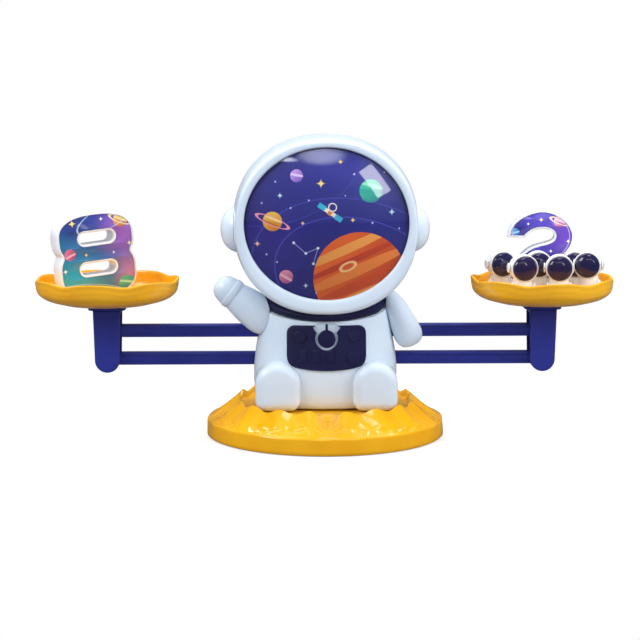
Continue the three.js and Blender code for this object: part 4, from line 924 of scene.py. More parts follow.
# %% [markdown]
# ## Visor
# Behind a clear dome of acrylic lies a printed sheet. Acrylic bends light with an index of 1.49 and is
# polished, so the lamps show in it as sharp soft-edged shapes, and the print keeps its full colour because
# lamp rays pass.

# %% Domes and the clear lens
LENS_FRONT, LENS_BULGE, LENS_THICK, PRINT_THICK = HELMET_FRONT + 1.2, 9, 1.8, 1.2


def dome(name, front, thick, around=160, rows=26):
    shares = np.cos(np.linspace(0, math.pi / 2, rows))
    outer = [(front - LENS_BULGE * (1 - s**2), s) for s in shares]
    line = outer + [(y + thick, s) for y, s in outer[::-1]]
    rings = []
    for y, share in line:
        ring = helmet_ring(y, 1, 0, 1, around)
        ring[:, 0] *= share * (OPENING_X - SEAM) / OPENING_X
        ring[:, 2] = OPENING_HEIGHT + (ring[:, 2] - OPENING_HEIGHT) * share * (OPENING_Z - SEAM) / OPENING_Z
        rings.append(ring)
    return skin(name, rings, tube=True, sharp=50)


def clear_acrylic():
    material, tree, out, where = new_material("clear moulded acrylic")
    wave = noise_at(tree, where, 30, 1.0)
    bump = add(tree, "ShaderNodeBump", {"Height": wave, "Strength": 0.3, "Distance": 0.02 * MM})
    body = add(tree, "ShaderNodeBsdfPrincipled", {
        "Base Color": linear("#FFFFFF"), "Roughness": 0.02, "IOR": 1.49, "Transmission Weight": 1.0,
        "Normal": bump.outputs[0]})
    lamp_ray = add(tree, "ShaderNodeLightPath").outputs["Is Shadow Ray"]
    clear = add(tree, "ShaderNodeBsdfTransparent")
    mix = add(tree, "ShaderNodeMixShader", {0: lamp_ray, 1: body.outputs[0], 2: clear.outputs[0]})
    tree.links.new(mix.outputs[0], out.inputs[0])
    return material


lens = piece_of("visor_dome", dome("visor_dome", LENS_FRONT, LENS_THICK))
stands_for(lens, "stand", ["visor_lens"], "clear_plastic", clear_acrylic())

# %% [markdown]
# ## Printed pictures
# The visor and the digits carry offset prints under a gloss varnish. A print is a stack of flat inks, so
# its material is one too: a ground colour, then one shape after another laid over it. A Mapping node of the
# Texture type carries each shape to its own centre, turn and size, and a line of maths says where its ink
# stops.


# %% Inks, one shape over another
def own_place(tree, where, x, z, wide, tall, turn):
    """The place as a form sees it: from its own centre, along its own sides, counted in its own sizes."""
    return add(tree, "ShaderNodeMapping", {"Vector": where, "Location": Vector((x, 0, z)) * MM,
                                           "Rotation": Euler((0, math.radians(turn), 0)),
                                           "Scale": (wide * MM, 1, tall * MM)},
               vector_type="TEXTURE").outputs[0]


def eased(tree, value, start, end, low=0.0, high=1.0):
    """A soft change from low, where the value is at the start, to high, where it is at the end."""
    return add(tree, "ShaderNodeMapRange", {"Value": value, "From Min": start, "From Max": end, "To Min": low,
                                            "To Max": high}, interpolation_type="SMOOTHSTEP").outputs[0]


def ink_mask(tree, where, form, x, z, wide, tall, turn=0.0, width=0.08):
    """1 inside a form centred at x, z in millimetres, 0 outside."""
    own = own_place(tree, where, x, z, wide, tall, turn)
    flat = add(tree, "ShaderNodeVectorMath", {0: own, 1: (1, 0, 1)}, operation="MULTIPLY").outputs[0]
    if form in ("disc", "ring", "glow"):
        far = add(tree, "ShaderNodeVectorMath", {0: flat}, operation="LENGTH").outputs["Value"]
        if form == "ring":
            away = maths(tree, "ABSOLUTE", maths(tree, "SUBTRACT", far, 1.0))
            return maths(tree, "LESS_THAN", away, width)
        return eased(tree, far, 1.0, 0.0) if form == "glow" else maths(tree, "LESS_THAN", far, 1.0)
    size = add(tree, "ShaderNodeVectorMath", {0: flat}, operation="ABSOLUTE").outputs[0]
    parts = add(tree, "ShaderNodeSeparateXYZ", {0: size}).outputs
    if form == "star":
        far = maths(tree, "ADD", *(maths(tree, "POWER", parts[k], 0.5) for k in (0, 2)))
    else:
        far = maths(tree, "MAXIMUM", parts[0], parts[2])
    return maths(tree, "LESS_THAN", far, 1.0)


def over(tree, ground, mask, ink, strength=1.0):
    """An ink, given as a hex colour or as a paint of its own, laid over a ground where the mask is 1."""
    if strength < 1:
        mask = maths(tree, "MULTIPLY", mask, strength)
    return blended(tree, mask, ground, linear(ink) if isinstance(ink, str) else ink)


def inked(tree, where, paint, marks):
    """Marks laid over the paint in turn, each [form, ink, strength, x, z, wide, tall, turn, width]."""
    for form, ink, strength, *place in marks:
        paint = over(tree, paint, ink_mask(tree, where, form, *place), ink, strength)
    return paint


def field(tree, where, x, z, first, last, turn=0.0, tall=60):
    """A ground that fades from one ink to another across a width in millimetres."""
    up = add(tree, "ShaderNodeSeparateXYZ", {0: own_place(tree, where, x, z, tall, tall, turn)}).outputs[2]
    return blended(tree, eased(tree, up, -0.5, 0.5), linear(first), linear(last))


def planet(tree, where, ground, x, z, radius, body, shade, bands=(), turn=20):
    """A disc with a shaded side and bands that follow its tilt."""
    disc = ink_mask(tree, where, "disc", x, z, radius, radius)
    paint = field(tree, where, x, z, shade, body, turn - 50, radius * 2.2)
    lean = math.radians(turn)
    for place, tall, ink in bands:
        off_x, off_z = place * radius * math.sin(lean), place * radius * math.cos(lean)
        stripe = ink_mask(tree, where, "disc", x + off_x, z + off_z, radius * 1.25, tall * radius, turn)
        paint = over(tree, paint, stripe, ink)
    return over(tree, ground, disc, paint)


def varnished(name, paint_of, place=None):
    """The finished print: its inks, a little paper tooth in the roughness and a clear coat."""
    material, tree, out, where = new_material(name)
    if place is not None:
        where = add(tree, "ShaderNodeMapping", {"Vector": where, "Location": place.translation,
                                                "Rotation": place.to_euler()},
                    vector_type="TEXTURE").outputs[0]
    paint = paint_of(tree, where)
    rough = spread(tree, noise_at(tree, where, 0.8, 3.0), 0.28, 0.4)
    shader = add(tree, "ShaderNodeBsdfPrincipled", {"Base Color": paint, "Roughness": rough, "IOR": 1.5,
                                                    "Coat Weight": 0.6, "Coat Roughness": 0.05})
    tree.links.new(shader.outputs[0], out.inputs[0])
    return material


# %% The picture on the visor
LARGE_BANDS = [(0.7, 0.1, "#F7A54C"), (0.42, 0.07, "#C93F1C"), (0.18, 0.12, "#F58A3C"),
               (-0.12, 0.1, "#D9501F"), (-0.38, 0.12, "#F79B44"), (-0.66, 0.1, "#B93219")]
VISOR_STARS = [(-4, 176, 3.6, "#FFE27A"), (-31, 168, 2.4, "#BFE8FF"), (43, 157, 2.8, "#BFE8FF"),
               (9, 190, 2.2, "#FFE27A"), (-46, 136, 2.6, "#FFC9A8"), (17, 152, 2.2, "#FFE27A"),
               (-14, 108, 2.4, "#BFE8FF"), (-16, 150, 1.8, "#FFC9A8")]
VISOR_DOTS = [(-12, 165, 0.5), (18, 182, 0.6), (-24, 160, 0.5), (30, 150, 0.6), (-43, 163, 0.5),
              (38, 183, 0.5), (-33, 124, 0.5), (-40, 129, 0.6), (48, 146, 0.5), (-7, 103, 0.5),
              (12, 168, 0.4), (-34, 177, 0.5)]


def starred(tree, where, paint, stars):
    return inked(tree, where, paint, [("star", ink, 1, x, z, size, size) for x, z, size, ink in stars])


def visor_worlds(tree, where, paint):
    paint = planet(tree, where, paint, 22, 113, 31, "#EE6A22", "#CF4A1C", LARGE_BANDS, -24)
    paint = inked(tree, where, paint, [("disc", "#FFD08A", 1, 14, 121, 6.4, 3.2, -24),
                                       ("disc", "#E4602A", 1, 14, 121, 4.2, 1.8, -24)])
    paint = planet(tree, where, paint, 29, 171, 7.6, "#37C7A6", "#178F8E",
                   [(0.45, 0.16, "#8FE8C4"), (-0.2, 0.2, "#1FA69A")], 15)
    paint = planet(tree, where, paint, -36, 151, 6.4, "#F2C14E", "#D98A2B",
                   [(0.3, 0.16, "#FBE08A"), (-0.3, 0.14, "#C9742A")], 22)
    paint = inked(tree, where, paint, [("ring", "#F39AB4", 1, -36, 151, 11.4, 2.6, 22, 0.1)])
    paint = planet(tree, where, paint, -20, 181, 4.2, "#C79BE8", "#7E62C4", [(0.1, 0.2, "#E2C8F6")], 10)
    return planet(tree, where, paint, -27, 114, 4.6, "#F39AB4", "#B85C96", [(-0.1, 0.2, "#F9C6D4")], 30)


def constellation(tree, where, paint, places):
    """Thin lines from place to place, then a dot on each place."""
    for (ax, az), (bx, bz) in zip(places, places[1:]):
        turn = -math.degrees(math.atan2(bz - az, bx - ax))
        half = math.hypot(bx - ax, bz - az) / 2
        middle = (ax + bx) / 2, (az + bz) / 2
        paint = inked(tree, where, paint, [("box", "#9FA6F2", 1, *middle, half, 0.22, turn)])
    return inked(tree, where, paint, [("disc", "#E8F0FF", 1, x, z, 0.9, 0.9) for x, z in places])


def visor_picture(tree, where):
    paint = field(tree, where, 0, 146, "#211F7C", "#262A88", 25, 110)
    paint = inked(tree, where, paint, [
        ("glow", "#3237A2", 0.5, 14, 186, 46, 22, 20), ("glow", "#34288E", 0.6, -34, 136, 30, 40, -25),
        ("ring", "#3C41A8", 0.8, 22, 112, 74, 52, 18, 0.009),
        ("ring", "#474CBC", 0.8, 22, 112, 58, 40, 18, 0.009),
        ("ring", "#373CA0", 0.8, -34, 196, 64, 46, -20, 0.009)])
    paint = visor_worlds(tree, where, paint)
    # A small probe with two panels and a dish drifts in the middle.
    paint = inked(tree, where, paint, [
        ("box", "#F4F1E4", 1, 2, 157, 4.75, 1.3, 34), ("box", "#38B6D8", 1, 7.4, 153.2, 2.7, 1.7, 34),
        ("box", "#38B6D8", 1, -3.4, 160.8, 2.7, 1.7, 34), ("box", "#F28A3A", 1, 2, 157, 1.4, 1.9, 34),
        ("ring", "#F4F1E4", 1, 3.6, 160.4, 2.6, 2.6, 0, 0.14)])
    paint = constellation(tree, where, paint, [(-22, 137), (-14, 130), (-6, 133.5), (-9, 123)])
    paint = starred(tree, where, paint, VISOR_STARS)
    return inked(tree, where, paint, [("disc", "#D9DCFF", 1, x, z, size, size) for x, z, size in VISOR_DOTS])


print_front = LENS_FRONT + LENS_THICK + SEAM
visor_print = piece_of("visor_print_sheet", dome("visor_print_sheet", print_front, PRINT_THICK))
stands_for(visor_print, "stand", ["visor_print"], "visor_print",
           varnished("offset print, night sky", visor_picture))
print("visor printed")

# %% [markdown]
# ## Beams and posts
# A beam is a bar with a long shallow channel in each side, which saves plastic and stiffens it, and an eye
# at each end. Each post is a channel open to the beams, round at the foot, with a flange that carries the
# tray. Both are plates: the beam's channel is an inner outline pushed in by a millimetre.

# %% Beams
HALF_SPAN, BEAM_THICK, EYE_HOLE, CHANNEL_HALF = 150.0, 8.0, 1.6, 2.75


def beam(name, height, body, node):
    half, tall, deep = HALF_SPAN, BEAM_TALL / 2, BEAM_THICK / 2
    outline = rounded((half, height), -90, 90, tall, 17) + rounded((-half, height), 90, 270, tall, 17)
    eyes = [circle(x, height - PIN_DROP, EYE_HOLE, 24, True) for x in (-half, half)]
    bar = piece_of(name, plate(name, [outline, *eyes], edge(deep, -deep, 0.7, 0.7)))
    ends = [plate("eye", [circle(x, height, tall, 32), hole], edge(7.3, -7.3, 0.4, 0.4))
            for x, hole in zip((-half, half), eyes)]
    hub = plate("hub", [circle(0, height, 7, 40)], edge(5.2, -5.2, 0.4, 0.4))
    for side in (-1, 1):
        low, high = sorted((side * 8.5, side * 145))
        channel = rectangle((low, height - CHANNEL_HALF), (high, height + CHANNEL_HALF), 1.2)
        for face in (-1, 1):
            near, far = face * (deep - 1.1), face * (deep + 2)
            carve(bar, plate("channel", [channel], edge(max(near, far), min(near, far), 0.05, 0.05)))
    bar.data = merged(name, [bar.data, *ends, hub])
    stands_for(bar, body, [node], "navy_plastic", navy_abs)


beam("upper_bar", UPPER_BEAM, "upper_link", "upper_beam")
beam("lower_bar", LOWER_BEAM, "lower_link", "lower_beam")


# %% Posts
def post(name, side):
    x, half, wall, bottom, top = side * HALF_SPAN, 10.0, 2.3, 44.0, 87.1

    def outline(inner, lower=0.0):
        foot, head = 8.5 - inner, 9.4 - inner
        bowl = rounded((0, bottom + foot + inner), 180, 360, foot, 25)
        return [(x + a, b) for a, b in [(head, top - lower), (-head, top - lower), *bowl]]

    channel = piece_of(name, plate(name, [outline(0)], edge(half, -half, 1.2, 1.2, 5), sharp=40))
    carve(channel, plate("room", [outline(wall, wall)], edge(half - wall, wall - half, 0.3, 0.3)))
    near, far = sorted((x, x - side * 15))
    carve(channel, block((near, wall - half, bottom + wall), (far, half - wall, top - wall)), sharp=40)
    # A plate grows along Y, and this turn lays it down, so that the flange grows along Z.
    up = Matrix(((1, 0, 0, 0), (0, 0, 1, 0), (0, -1, 0, 0), (0, 0, 0, 1)))
    flange = plate("flange", [rectangle((x - 12.75, -11), (x + 12.75, 11), 5, 8)],
                   edge(-top, -89.3, 0.5, 0.5), up)
    channel.data = merged(name, [channel.data, flange], 40)
    body = "left_carrier" if side < 0 else "right_carrier"
    stands_for(channel, body, ["left_post" if side < 0 else "right_post"], "navy_plastic", navy_abs)


post("left_channel_post", -1)
post("right_channel_post", 1)

# %% [markdown]
# ## Trays
# Both trays come from one rule: a profile is swept round a circle, then each point is lifted and pushed
# outwards by a wave that grows towards the rim. Geometry Nodes suit this well, since the number of waves,
# their height and their turn stay as named inputs, and the left tray is the same rule given another turn.

# %% The tray's rule
TRAY_RADIUS, TRAY_TALL, TRAY_WALL, TRAY_FLOOR, TRAY_BASE = 49.0, 18.9, 2.3, 3.4, 89.6
TRAY = {"Waves": 7, "Rim Wave": 1.2 * MM, "Plan Wave": 0.6 * MM, "Height": TRAY_TALL * MM,
        "Floor": TRAY_FLOOR * MM, "Turn": 0.0, "Centre": 0.0, "Seat": TRAY_BASE * MM, "Around": 210}
# Each wave has a smaller one of twice the pace on it. The plan's wave leads the rim's by this many radians,
# and the last number says how fast the waves grow towards the rim.
DOUBLE_WAVE, PLAN_LEAD, RISE_POWER = -0.2, 1.2, 1.5
# Faint bands follow the wall: their phase per metre of height, their sway with the wave, and their depth.
BAND_PHASE, BAND_SWAY, BAND_DEEP = 1500.0, -0.9, 0.14 * MM


def tray_profile():
    outer = through([(0.62, 0.095), (0.83, 0.245), (0.935, 0.41), (0.98, 0.58), (0.995, 0.8),
                     (1.0, 0.955)], 7)
    inner = through([(0.95, 0.955), (0.946, 0.78), (0.935, 0.6), (0.895, 0.42), (0.83, 0.29)], 7)
    line = [(0, 0), (12.0, 0), (12.4, 0.25)]
    lip = [(0.996, 0.988), (0.985, 1), (0.966, 0.995)]
    line += [(r * TRAY_RADIUS, z * TRAY_TALL) for r, z in (*outer, *lip)]
    line += [(r * (TRAY_RADIUS - TRAY_WALL) + TRAY_WALL, z * TRAY_TALL) for r, z in inner]
    return line + [(36, TRAY_FLOOR + 0.65), (33, TRAY_FLOOR + 0.45), (18, TRAY_FLOOR + 0.1), (0, TRAY_FLOOR)]


def tray_rule(profile):
    tree, given, out = new_rule("wavy tray", TRAY)
    size = given.outputs
    around = add(tree, "GeometryNodeCurvePrimitiveCircle", {"Resolution": size["Around"], "Radius": 1.0})
    shape = add(tree, "GeometryNodeObjectInfo", {"Object": profile})
    line = add(tree, "GeometryNodeMeshToCurve", {"Mesh": shape.outputs["Geometry"]})
    swept = add(tree, "GeometryNodeCurveToMesh", {"Curve": around.outputs[0],
                                                  "Profile Curve": line.outputs[0]})
    # The sweep runs round a circle of one metre and comes out upside down. Z is turned, the metre comes off.
    position = add(tree, "GeometryNodeInputPosition").outputs[0]
    upright = add(tree, "ShaderNodeVectorMath", {0: position, 1: (1, 1, -1)}, operation="MULTIPLY").outputs[0]
    here = add(tree, "ShaderNodeSeparateXYZ", {0: upright}).outputs
    angle = maths(tree, "ARCTAN2", here[0], maths(tree, "MULTIPLY", here[1], -1.0))
    squares = [maths(tree, "MULTIPLY", here[k], here[k]) for k in (0, 1)]
    radius = maths(tree, "SUBTRACT", maths(tree, "SQRT", maths(tree, "ADD", *squares)), 1.0)
    climbed = maths(tree, "DIVIDE", maths(tree, "SUBTRACT", here[2], size["Floor"]), size["Height"])
    above = maths(tree, "MAXIMUM", climbed, 0.0)
    share = maths(tree, "POWER", above, RISE_POWER)
    turn = maths(tree, "MULTIPLY", maths(tree, "SUBTRACT", angle, size["Turn"]), size["Waves"])
    double = maths(tree, "MULTIPLY", maths(tree, "COSINE", maths(tree, "MULTIPLY", turn, 2.0)), DOUBLE_WAVE)
    wave = maths(tree, "ADD", maths(tree, "COSINE", turn), double)
    lift = maths(tree, "MULTIPLY", maths(tree, "MULTIPLY", wave, size["Rim Wave"]), share)
    plan = maths(tree, "COSINE", maths(tree, "ADD", turn, PLAN_LEAD))
    push = maths(tree, "MULTIPLY", maths(tree, "MULTIPLY", plan, size["Plan Wave"]), share)
    phase = maths(tree, "MULTIPLY", here[2], BAND_PHASE)
    band = maths(tree, "SINE", maths(tree, "ADD", phase, maths(tree, "MULTIPLY", wave, BAND_SWAY)))
    push = maths(tree, "ADD", push, maths(tree, "MULTIPLY", maths(tree, "MULTIPLY", band, BAND_DEEP), above))
    reach = maths(tree, "ADD", radius, push)
    x = maths(tree, "ADD", maths(tree, "MULTIPLY", maths(tree, "SINE", angle), reach), size["Centre"])
    y = maths(tree, "MULTIPLY", maths(tree, "MULTIPLY", maths(tree, "COSINE", angle), reach), -1.0)
    z = maths(tree, "ADD", maths(tree, "ADD", here[2], lift), size["Seat"])
    place = add(tree, "ShaderNodeCombineXYZ", {0: x, 1: y, 2: z})
    moved = add(tree, "GeometryNodeSetPosition", {"Geometry": swept.outputs[0], "Position": place.outputs[0]})
    closed = add(tree, "GeometryNodeMergeByDistance", {"Geometry": moved.outputs[0], "Distance": 0.01 * MM})
    finish_rule(tree, out, closed.outputs[0], yellow_abs)
    return tree


def tray(name, side, body, node):
    line = tray_profile()
    # The profile is drawn flat in X and Y at the origin, and a circle of one metre carries it round.
    profile = bpy.data.meshes.new("tray profile")
    links = [(k, k + 1) for k in range(len(line) - 1)]
    profile.from_pydata([(r * MM, z * MM, 0) for r, z in line], links, [])
    holder = piece_of("tray profile", profile)
    sizes = {**TRAY, "Turn": side * math.radians(6.3), "Centre": side * HALF_SPAN * MM}
    bowl = grown(name, tray_rule(holder), sizes, 40)
    bpy.data.objects.remove(holder)
    work = bmesh.new()
    work.from_mesh(bowl)
    bmesh.ops.recalc_face_normals(work, faces=work.faces)
    work.to_mesh(bowl)
    work.free()
    spigot = block((side * HALF_SPAN - 4.5, -4, TRAY_BASE - 5.5), (side * HALF_SPAN + 4.5, 4, TRAY_BASE + 1))
    stands_for(piece_of(name, merged(name, [bowl, spigot], 40)), body, [node], "yellow_plastic", yellow_abs)


tray("left_wavy_tray", -1, "left_carrier", "left_tray")
tray("right_wavy_tray", 1, "right_carrier", "right_tray")

# %% [markdown]
# ## The digits
# Each digit is a hollow white block with a round border, and a printed sheet is set into its face. The
# eight is two squarish lobes with a waist between them and a slot in each. The two is one stroke of even
# width on a foot bar.

# %% Digit outlines
DIGIT_TALL, DIGIT_THICK, BORDER = 60.0, 15.0, 1.5
LOWER_LOBE, UPPER_LOBE, WAIST = (55.6, 36.0, 18.0), (55.6, 33.0, 43.5), 50.2


def lobe_half(z, wide, tall, centre, outer=2.5, inner=3.4):
    """Half the width of a lobe at a height. It is squarer on the side that faces the waist."""
    power = np.where((z - centre) * (DIGIT_TALL / 2 - centre) > 0, inner, outer)
    up = np.clip(np.abs(z - centre) / (tall / 2), 0, 1)
    return wide / 2 * (1 - up**power) ** (1 / power)


def eight_loop():
    half = DIGIT_TALL / 2
    turns = np.cos(np.linspace(0, math.pi, 70))
    z = np.unique(np.concatenate([half - half * turns, np.linspace(22, 38, 30)]))
    wide = np.maximum(lobe_half(z, *LOWER_LOBE), lobe_half(z, *UPPER_LOBE))
    wide = np.where(np.abs(z - 31) < 9, np.maximum(wide, WAIST / 2), wide)
    soft = np.convolve(np.pad(wide, 3, mode="edge"), np.ones(7) / 7, mode="valid")
    wide = np.where(np.abs(z - 31) < 8, soft, wide)
    right = [(float(a), float(b)) for a, b in zip(wide, z)]
    left = [(-a, b) for a, b in right[::-1] if a > 0.01]
    return right + [p for p in left if p[0] < -0.01]


def slot_loop(middle, centre):
    return rectangle((middle - 12.6, centre - 3.9), (middle + 12.6, centre + 3.9), 3.85, 9, True)


TWO_OUTER = [(-23.4, 39.6), (-21.3, 46.6), (-16.9, 52.0), (-9.9, 56.2), (-1.5, 58.6), (5.5, 58.2),
             (13.3, 55.2), (19.3, 50.0), (22.8, 43.0), (22.4, 35.9), (19.0, 29.6), (12.8, 24.6),
             (4.6, 20.9), (-1.6, 17.8)]
TWO_INNER = [(-11.2, 39.2), (-8.2, 42.4), (-4.6, 44.5), (-0.6, 45.4), (4.0, 45.3), (7.4, 44.0), (9.2, 41.4),
             (8.6, 38.6), (6.2, 36.9), (2.6, 35.7), (-2.2, 34.4), (-7.2, 32.4), (-12.0, 29.0),
             (-16.6, 24.2), (-20.2, 17.8), (-22.4, 10.0)]


def without_crowding(loop, turn=38, room=2.6):
    """The loop with open stretches beside its sharp corners, where an inset would fold over itself."""
    points = np.array(loop)
    ahead, behind = np.roll(points, -1, 0) - points, points - np.roll(points, 1, 0)
    cross = ahead[:, 0] * behind[:, 1] - ahead[:, 1] * behind[:, 0]
    bend = np.abs(np.degrees(np.arctan2(cross, (ahead * behind).sum(1))))
    corners = points[bend > turn]
    near = np.linalg.norm(points[:, None] - corners[None], axis=2).min(1)
    return [tuple(p) for p, far in zip(points, near) if far < 1e-6 or far > room]


def two_loop():
    """Two smooth lines make the stroke's sides, and a rounded bar is its foot."""
    foot = [(-4.6, 14.2)] + rounded((21.9, 12.0), 90, 0, 2.2, 5) + rounded((21.9, 2.2), 0, -90, 2.2, 5)
    foot += rounded((-21.0, 2.2), -90, -180, 2.2, 5)
    sides = [tuple(p) for p in through(TWO_OUTER, 5)], [tuple(p) for p in through(TWO_INNER, 5)]
    return without_crowding((sides[0] + foot + sides[1][::-1])[::-1])


def block_path():
    bend = np.linspace(0, math.pi / 2, 5)
    back = [(1.1 * (1 - math.sin(a)), DIGIT_THICK - 1.1 * (1 - math.cos(a))) for a in bend]
    bend = np.linspace(0, math.pi / 2, 6)
    front = [(1.3 * (1 - math.cos(a)), 1.3 * (1 - math.sin(a))) for a in bend]
    return back + front + [(BORDER, 0), (BORDER, 1.2)]


digit_path = block_path()
sheet_path = [(BORDER + 0.12, 1.2), (BORDER + 0.12, 0.45), (BORDER + 0.3, 0.3)]

# %% Places of the digits
centred = Matrix.Translation((0, -DIGIT_THICK / 2, 0))
eight_place = (Matrix.Translation((-157.2, 8, 94.1)) @ Matrix.Rotation(math.radians(26), 4, "Z")
               @ Matrix.Rotation(math.radians(-5), 4, "Y") @ centred)
two_place = Matrix.Translation((152.2, 25, 94.7)) @ Matrix.Rotation(math.radians(-6), 4, "Z") @ centred


def in_metres(place):
    """A place worked out in millimetres, for a mesh or a material that counts in metres."""
    return Matrix.Translation(place.translation * MM) @ place.to_3x3().to_4x4()


# %% [markdown]
# The digits' prints keep to a few inks: a fading sky, round worlds with bands, thin orbits and stars.

# %% Pictures on the digits
EIGHT_STARS = [(-16, 54, 3.2, "#FFE27A"), (5, 55, 1.8, "#FFFFFF"), (-24, 22, 2.2, "#FFFFFF"),
               (-8, 31.5, 1.8, "#FFE27A"), (24, 36, 2.4, "#FFF3C4"), (3, 6, 2.2, "#FFFFFF"),
               (12, 31, 1.5, "#FFFFFF"), (-20, 9, 1.8, "#FFF3C4")]
TWO_STARS = [(0, 52, 2.2, "#FFE27A"), (19, 37, 2.0, "#FFFFFF"), (7, 30, 1.7, "#FFFFFF"),
             (-9, 49, 1.5, "#FFFFFF"), (-10, 22, 2.0, "#FFE27A"), (3, 8, 2.0, "#FFFFFF"),
             (-19, 5, 1.6, "#FFF3C4")]


def eight_picture(tree, where):
    paint = field(tree, where, 0, 30, "#1B8FB0", "#3B3BA6", 35, 70)
    paint = inked(tree, where, paint, [
        ("glow", "#27B6C4", 0.8, -20, 10, 30, 24), ("glow", "#B06AD0", 0.85, 20, 44, 26, 26),
        ("glow", "#E58FB8", 0.7, 24, 16, 18, 20), ("glow", "#2A2F86", 0.9, -14, 52, 24, 14)])
    paint = planet(tree, where, paint, 19, 53, 5.2, "#F0B24E", "#C96E3A", [(0.1, 0.2, "#F8DC93")], 25)
    paint = inked(tree, where, paint, [("ring", "#F7E6B0", 1, 19, 53, 8.4, 2.2, 25, 0.12)])
    paint = planet(tree, where, paint, -19.5, 33, 4.0, "#E77FA6", "#A94A86", [(-0.2, 0.2, "#F6B6CC")], -20)
    paint = planet(tree, where, paint, 20, 7.5, 6.4, "#3FC6B0", "#1C7F94",
                   [(0.3, 0.14, "#A5EBD3"), (-0.25, 0.16, "#1E9AA0")], 12)
    orbits = [(-6, 3, 28, 8, 8), (-6, 3, 21, 5.4, 8), (10, 56, 24, 8, -20)]
    paint = inked(tree, where, paint, [("ring", "#BFE6F6", 0.7, *orbit, 0.03) for orbit in orbits])
    return starred(tree, where, paint, EIGHT_STARS)


def two_picture(tree, where):
    paint = field(tree, where, 0, 34, "#3A2F9E", "#5B49C4", -30, 60)
    paint = inked(tree, where, paint, [
        ("glow", "#7E4FD0", 0.8, 17, 42, 18, 22), ("glow", "#2A2A88", 0.9, -16, 44, 14, 16),
        ("glow", "#C05AB8", 0.85, -16, 10, 22, 16)])
    paint = planet(tree, where, paint, 13, 51, 4.2, "#F29AC0", "#B4549C", [(0.1, 0.2, "#FBD0E0")], 20)
    paint = inked(tree, where, paint, [("ring", "#FCE3B8", 1, 13, 51, 7.0, 1.9, 20, 0.14)])
    paint = planet(tree, where, paint, -18, 43, 3.0, "#58B8F0", "#2C6CC0", [(0.0, 0.22, "#B7E2FA")], -15)
    paint = planet(tree, where, paint, 18, 7, 4.6, "#F0B24E", "#C96E3A", [(0.2, 0.18, "#F8DC93")], 25)
    paint = inked(tree, where, paint, [("ring", "#C9C2F6", 0.7, 0, 41, 20, 17, 10, 0.02)])
    return starred(tree, where, paint, TWO_STARS)


def digit(name, loops, place, body, nodes, slots, picture):
    shell = piece_of(f"{name}_shell", plate(f"{name}_shell", loops, digit_path, place, 40))
    stands_for(shell, body, [nodes[0]], "white_plastic", white_abs)
    sheet = piece_of(f"{name}_sheet", plate(f"{name}_sheet", loops, sheet_path, place, 40))
    stands_for(sheet, body, [nodes[1]], slots, varnished(f"offset print, {name}", picture, in_metres(place)))


digit("eight", [eight_loop(), slot_loop(0.2, 21.5), slot_loop(0.7, 42.6)], eight_place, "eight",
      ["number_eight", "number_eight_face"], "eight_print", eight_picture)
digit("two", [two_loop()], two_place, "two", ["number_two", "number_two_face"], "two_print", two_picture)

# %% [markdown]
# ## Counters
# Six small space-suited figures stand in the right tray. Each is a milky moulding with a round head, two
# ear discs and folded arms, and a dark dome is pressed into its face. One figure is made once and set down
# six times.

# %% One counter
HEAD_HEIGHT, HEAD_RADIUS, VISOR_RADIUS = 23.4, 9.4, 8.4
COUNTERS = [(-0.335, -0.408, 8), (0.172, -0.408, -4), (0.595, -0.345, -18), (-0.585, 0.12, 14),
            (-0.045, 0.14, 0), (0.48, 0.095, -9)]


def ball(radii, centre, around=28, rows=15):
    line = [(math.sin(a), -math.cos(a)) for a in np.linspace(0, math.pi, rows)]
    return skin("ball", turned(line, around) * radii + centre)


def counter_body():
    waist = through([(6.2, 1.8), (7.0, 3.2), (7.6, 7.6), (7.2, 12), (6.0, 17.5)], 4).tolist()
    torso = skin("torso", turned([(0, 0), (4.4, 0), (5.2, 0.5), *waist, (0, 17.8)], 36))
    shapes = [torso, ball((HEAD_RADIUS, 8.9, HEAD_RADIUS), (0, 0.3, HEAD_HEIGHT), 48, 25)]
    for side in (-1, 1):
        shapes.append(ball((2.5, 3.0, 4.9), (side * 7.1, -2.2, 9.0)))
        shapes.append(ball((2.3, 2.2, 2.2), (side * 5.6, -5.0, 5.8), 20, 11))
        shapes.append(ball((3.0, 3.6, 2.6), (side * 3.3, -3.4, 2.6), 24, 12))
        ear = turned([(0, 0)] + rounded((2.7, 9.6), 0, 90, 0.7, 5) + [(0, 10.3)], 28)
        ear[0, :, 2] = 8.0
        across, up = side * ear[..., 2], HEAD_HEIGHT + side * ear[..., 0]
        shapes.append(skin("ear", np.stack([across, ear[..., 1], up], -1)))
    rim = [(VISOR_RADIUS + 0.1, 5.0), (VISOR_RADIUS + 0.95, 5.6), (VISOR_RADIUS + 0.95, 6.4),
           (VISOR_RADIUS + 0.6, 6.9), (VISOR_RADIUS + 0.1, 6.95), (VISOR_RADIUS - 0.1, 6.4)]
    ring = turned(rim, 56)
    facing = np.stack([ring[..., 0], -ring[..., 2], HEAD_HEIGHT + ring[..., 1]], -1)
    return [*shapes, skin("rim", facing, tube=True)]


def counter_visor():
    bend = np.linspace(0, math.pi / 2, 14)
    line = [(0, 4.2), (VISOR_RADIUS, 4.2)]
    line += [(VISOR_RADIUS * math.cos(a), 6.4 + 4.2 * math.sin(a)) for a in bend]
    form = turned(line, 56)
    return skin("visor", np.stack([form[..., 0], -form[..., 2], HEAD_HEIGHT + form[..., 1]], -1))


def moved(mesh, place):
    copy = mesh.copy()
    copy.transform(in_metres(place))
    return copy


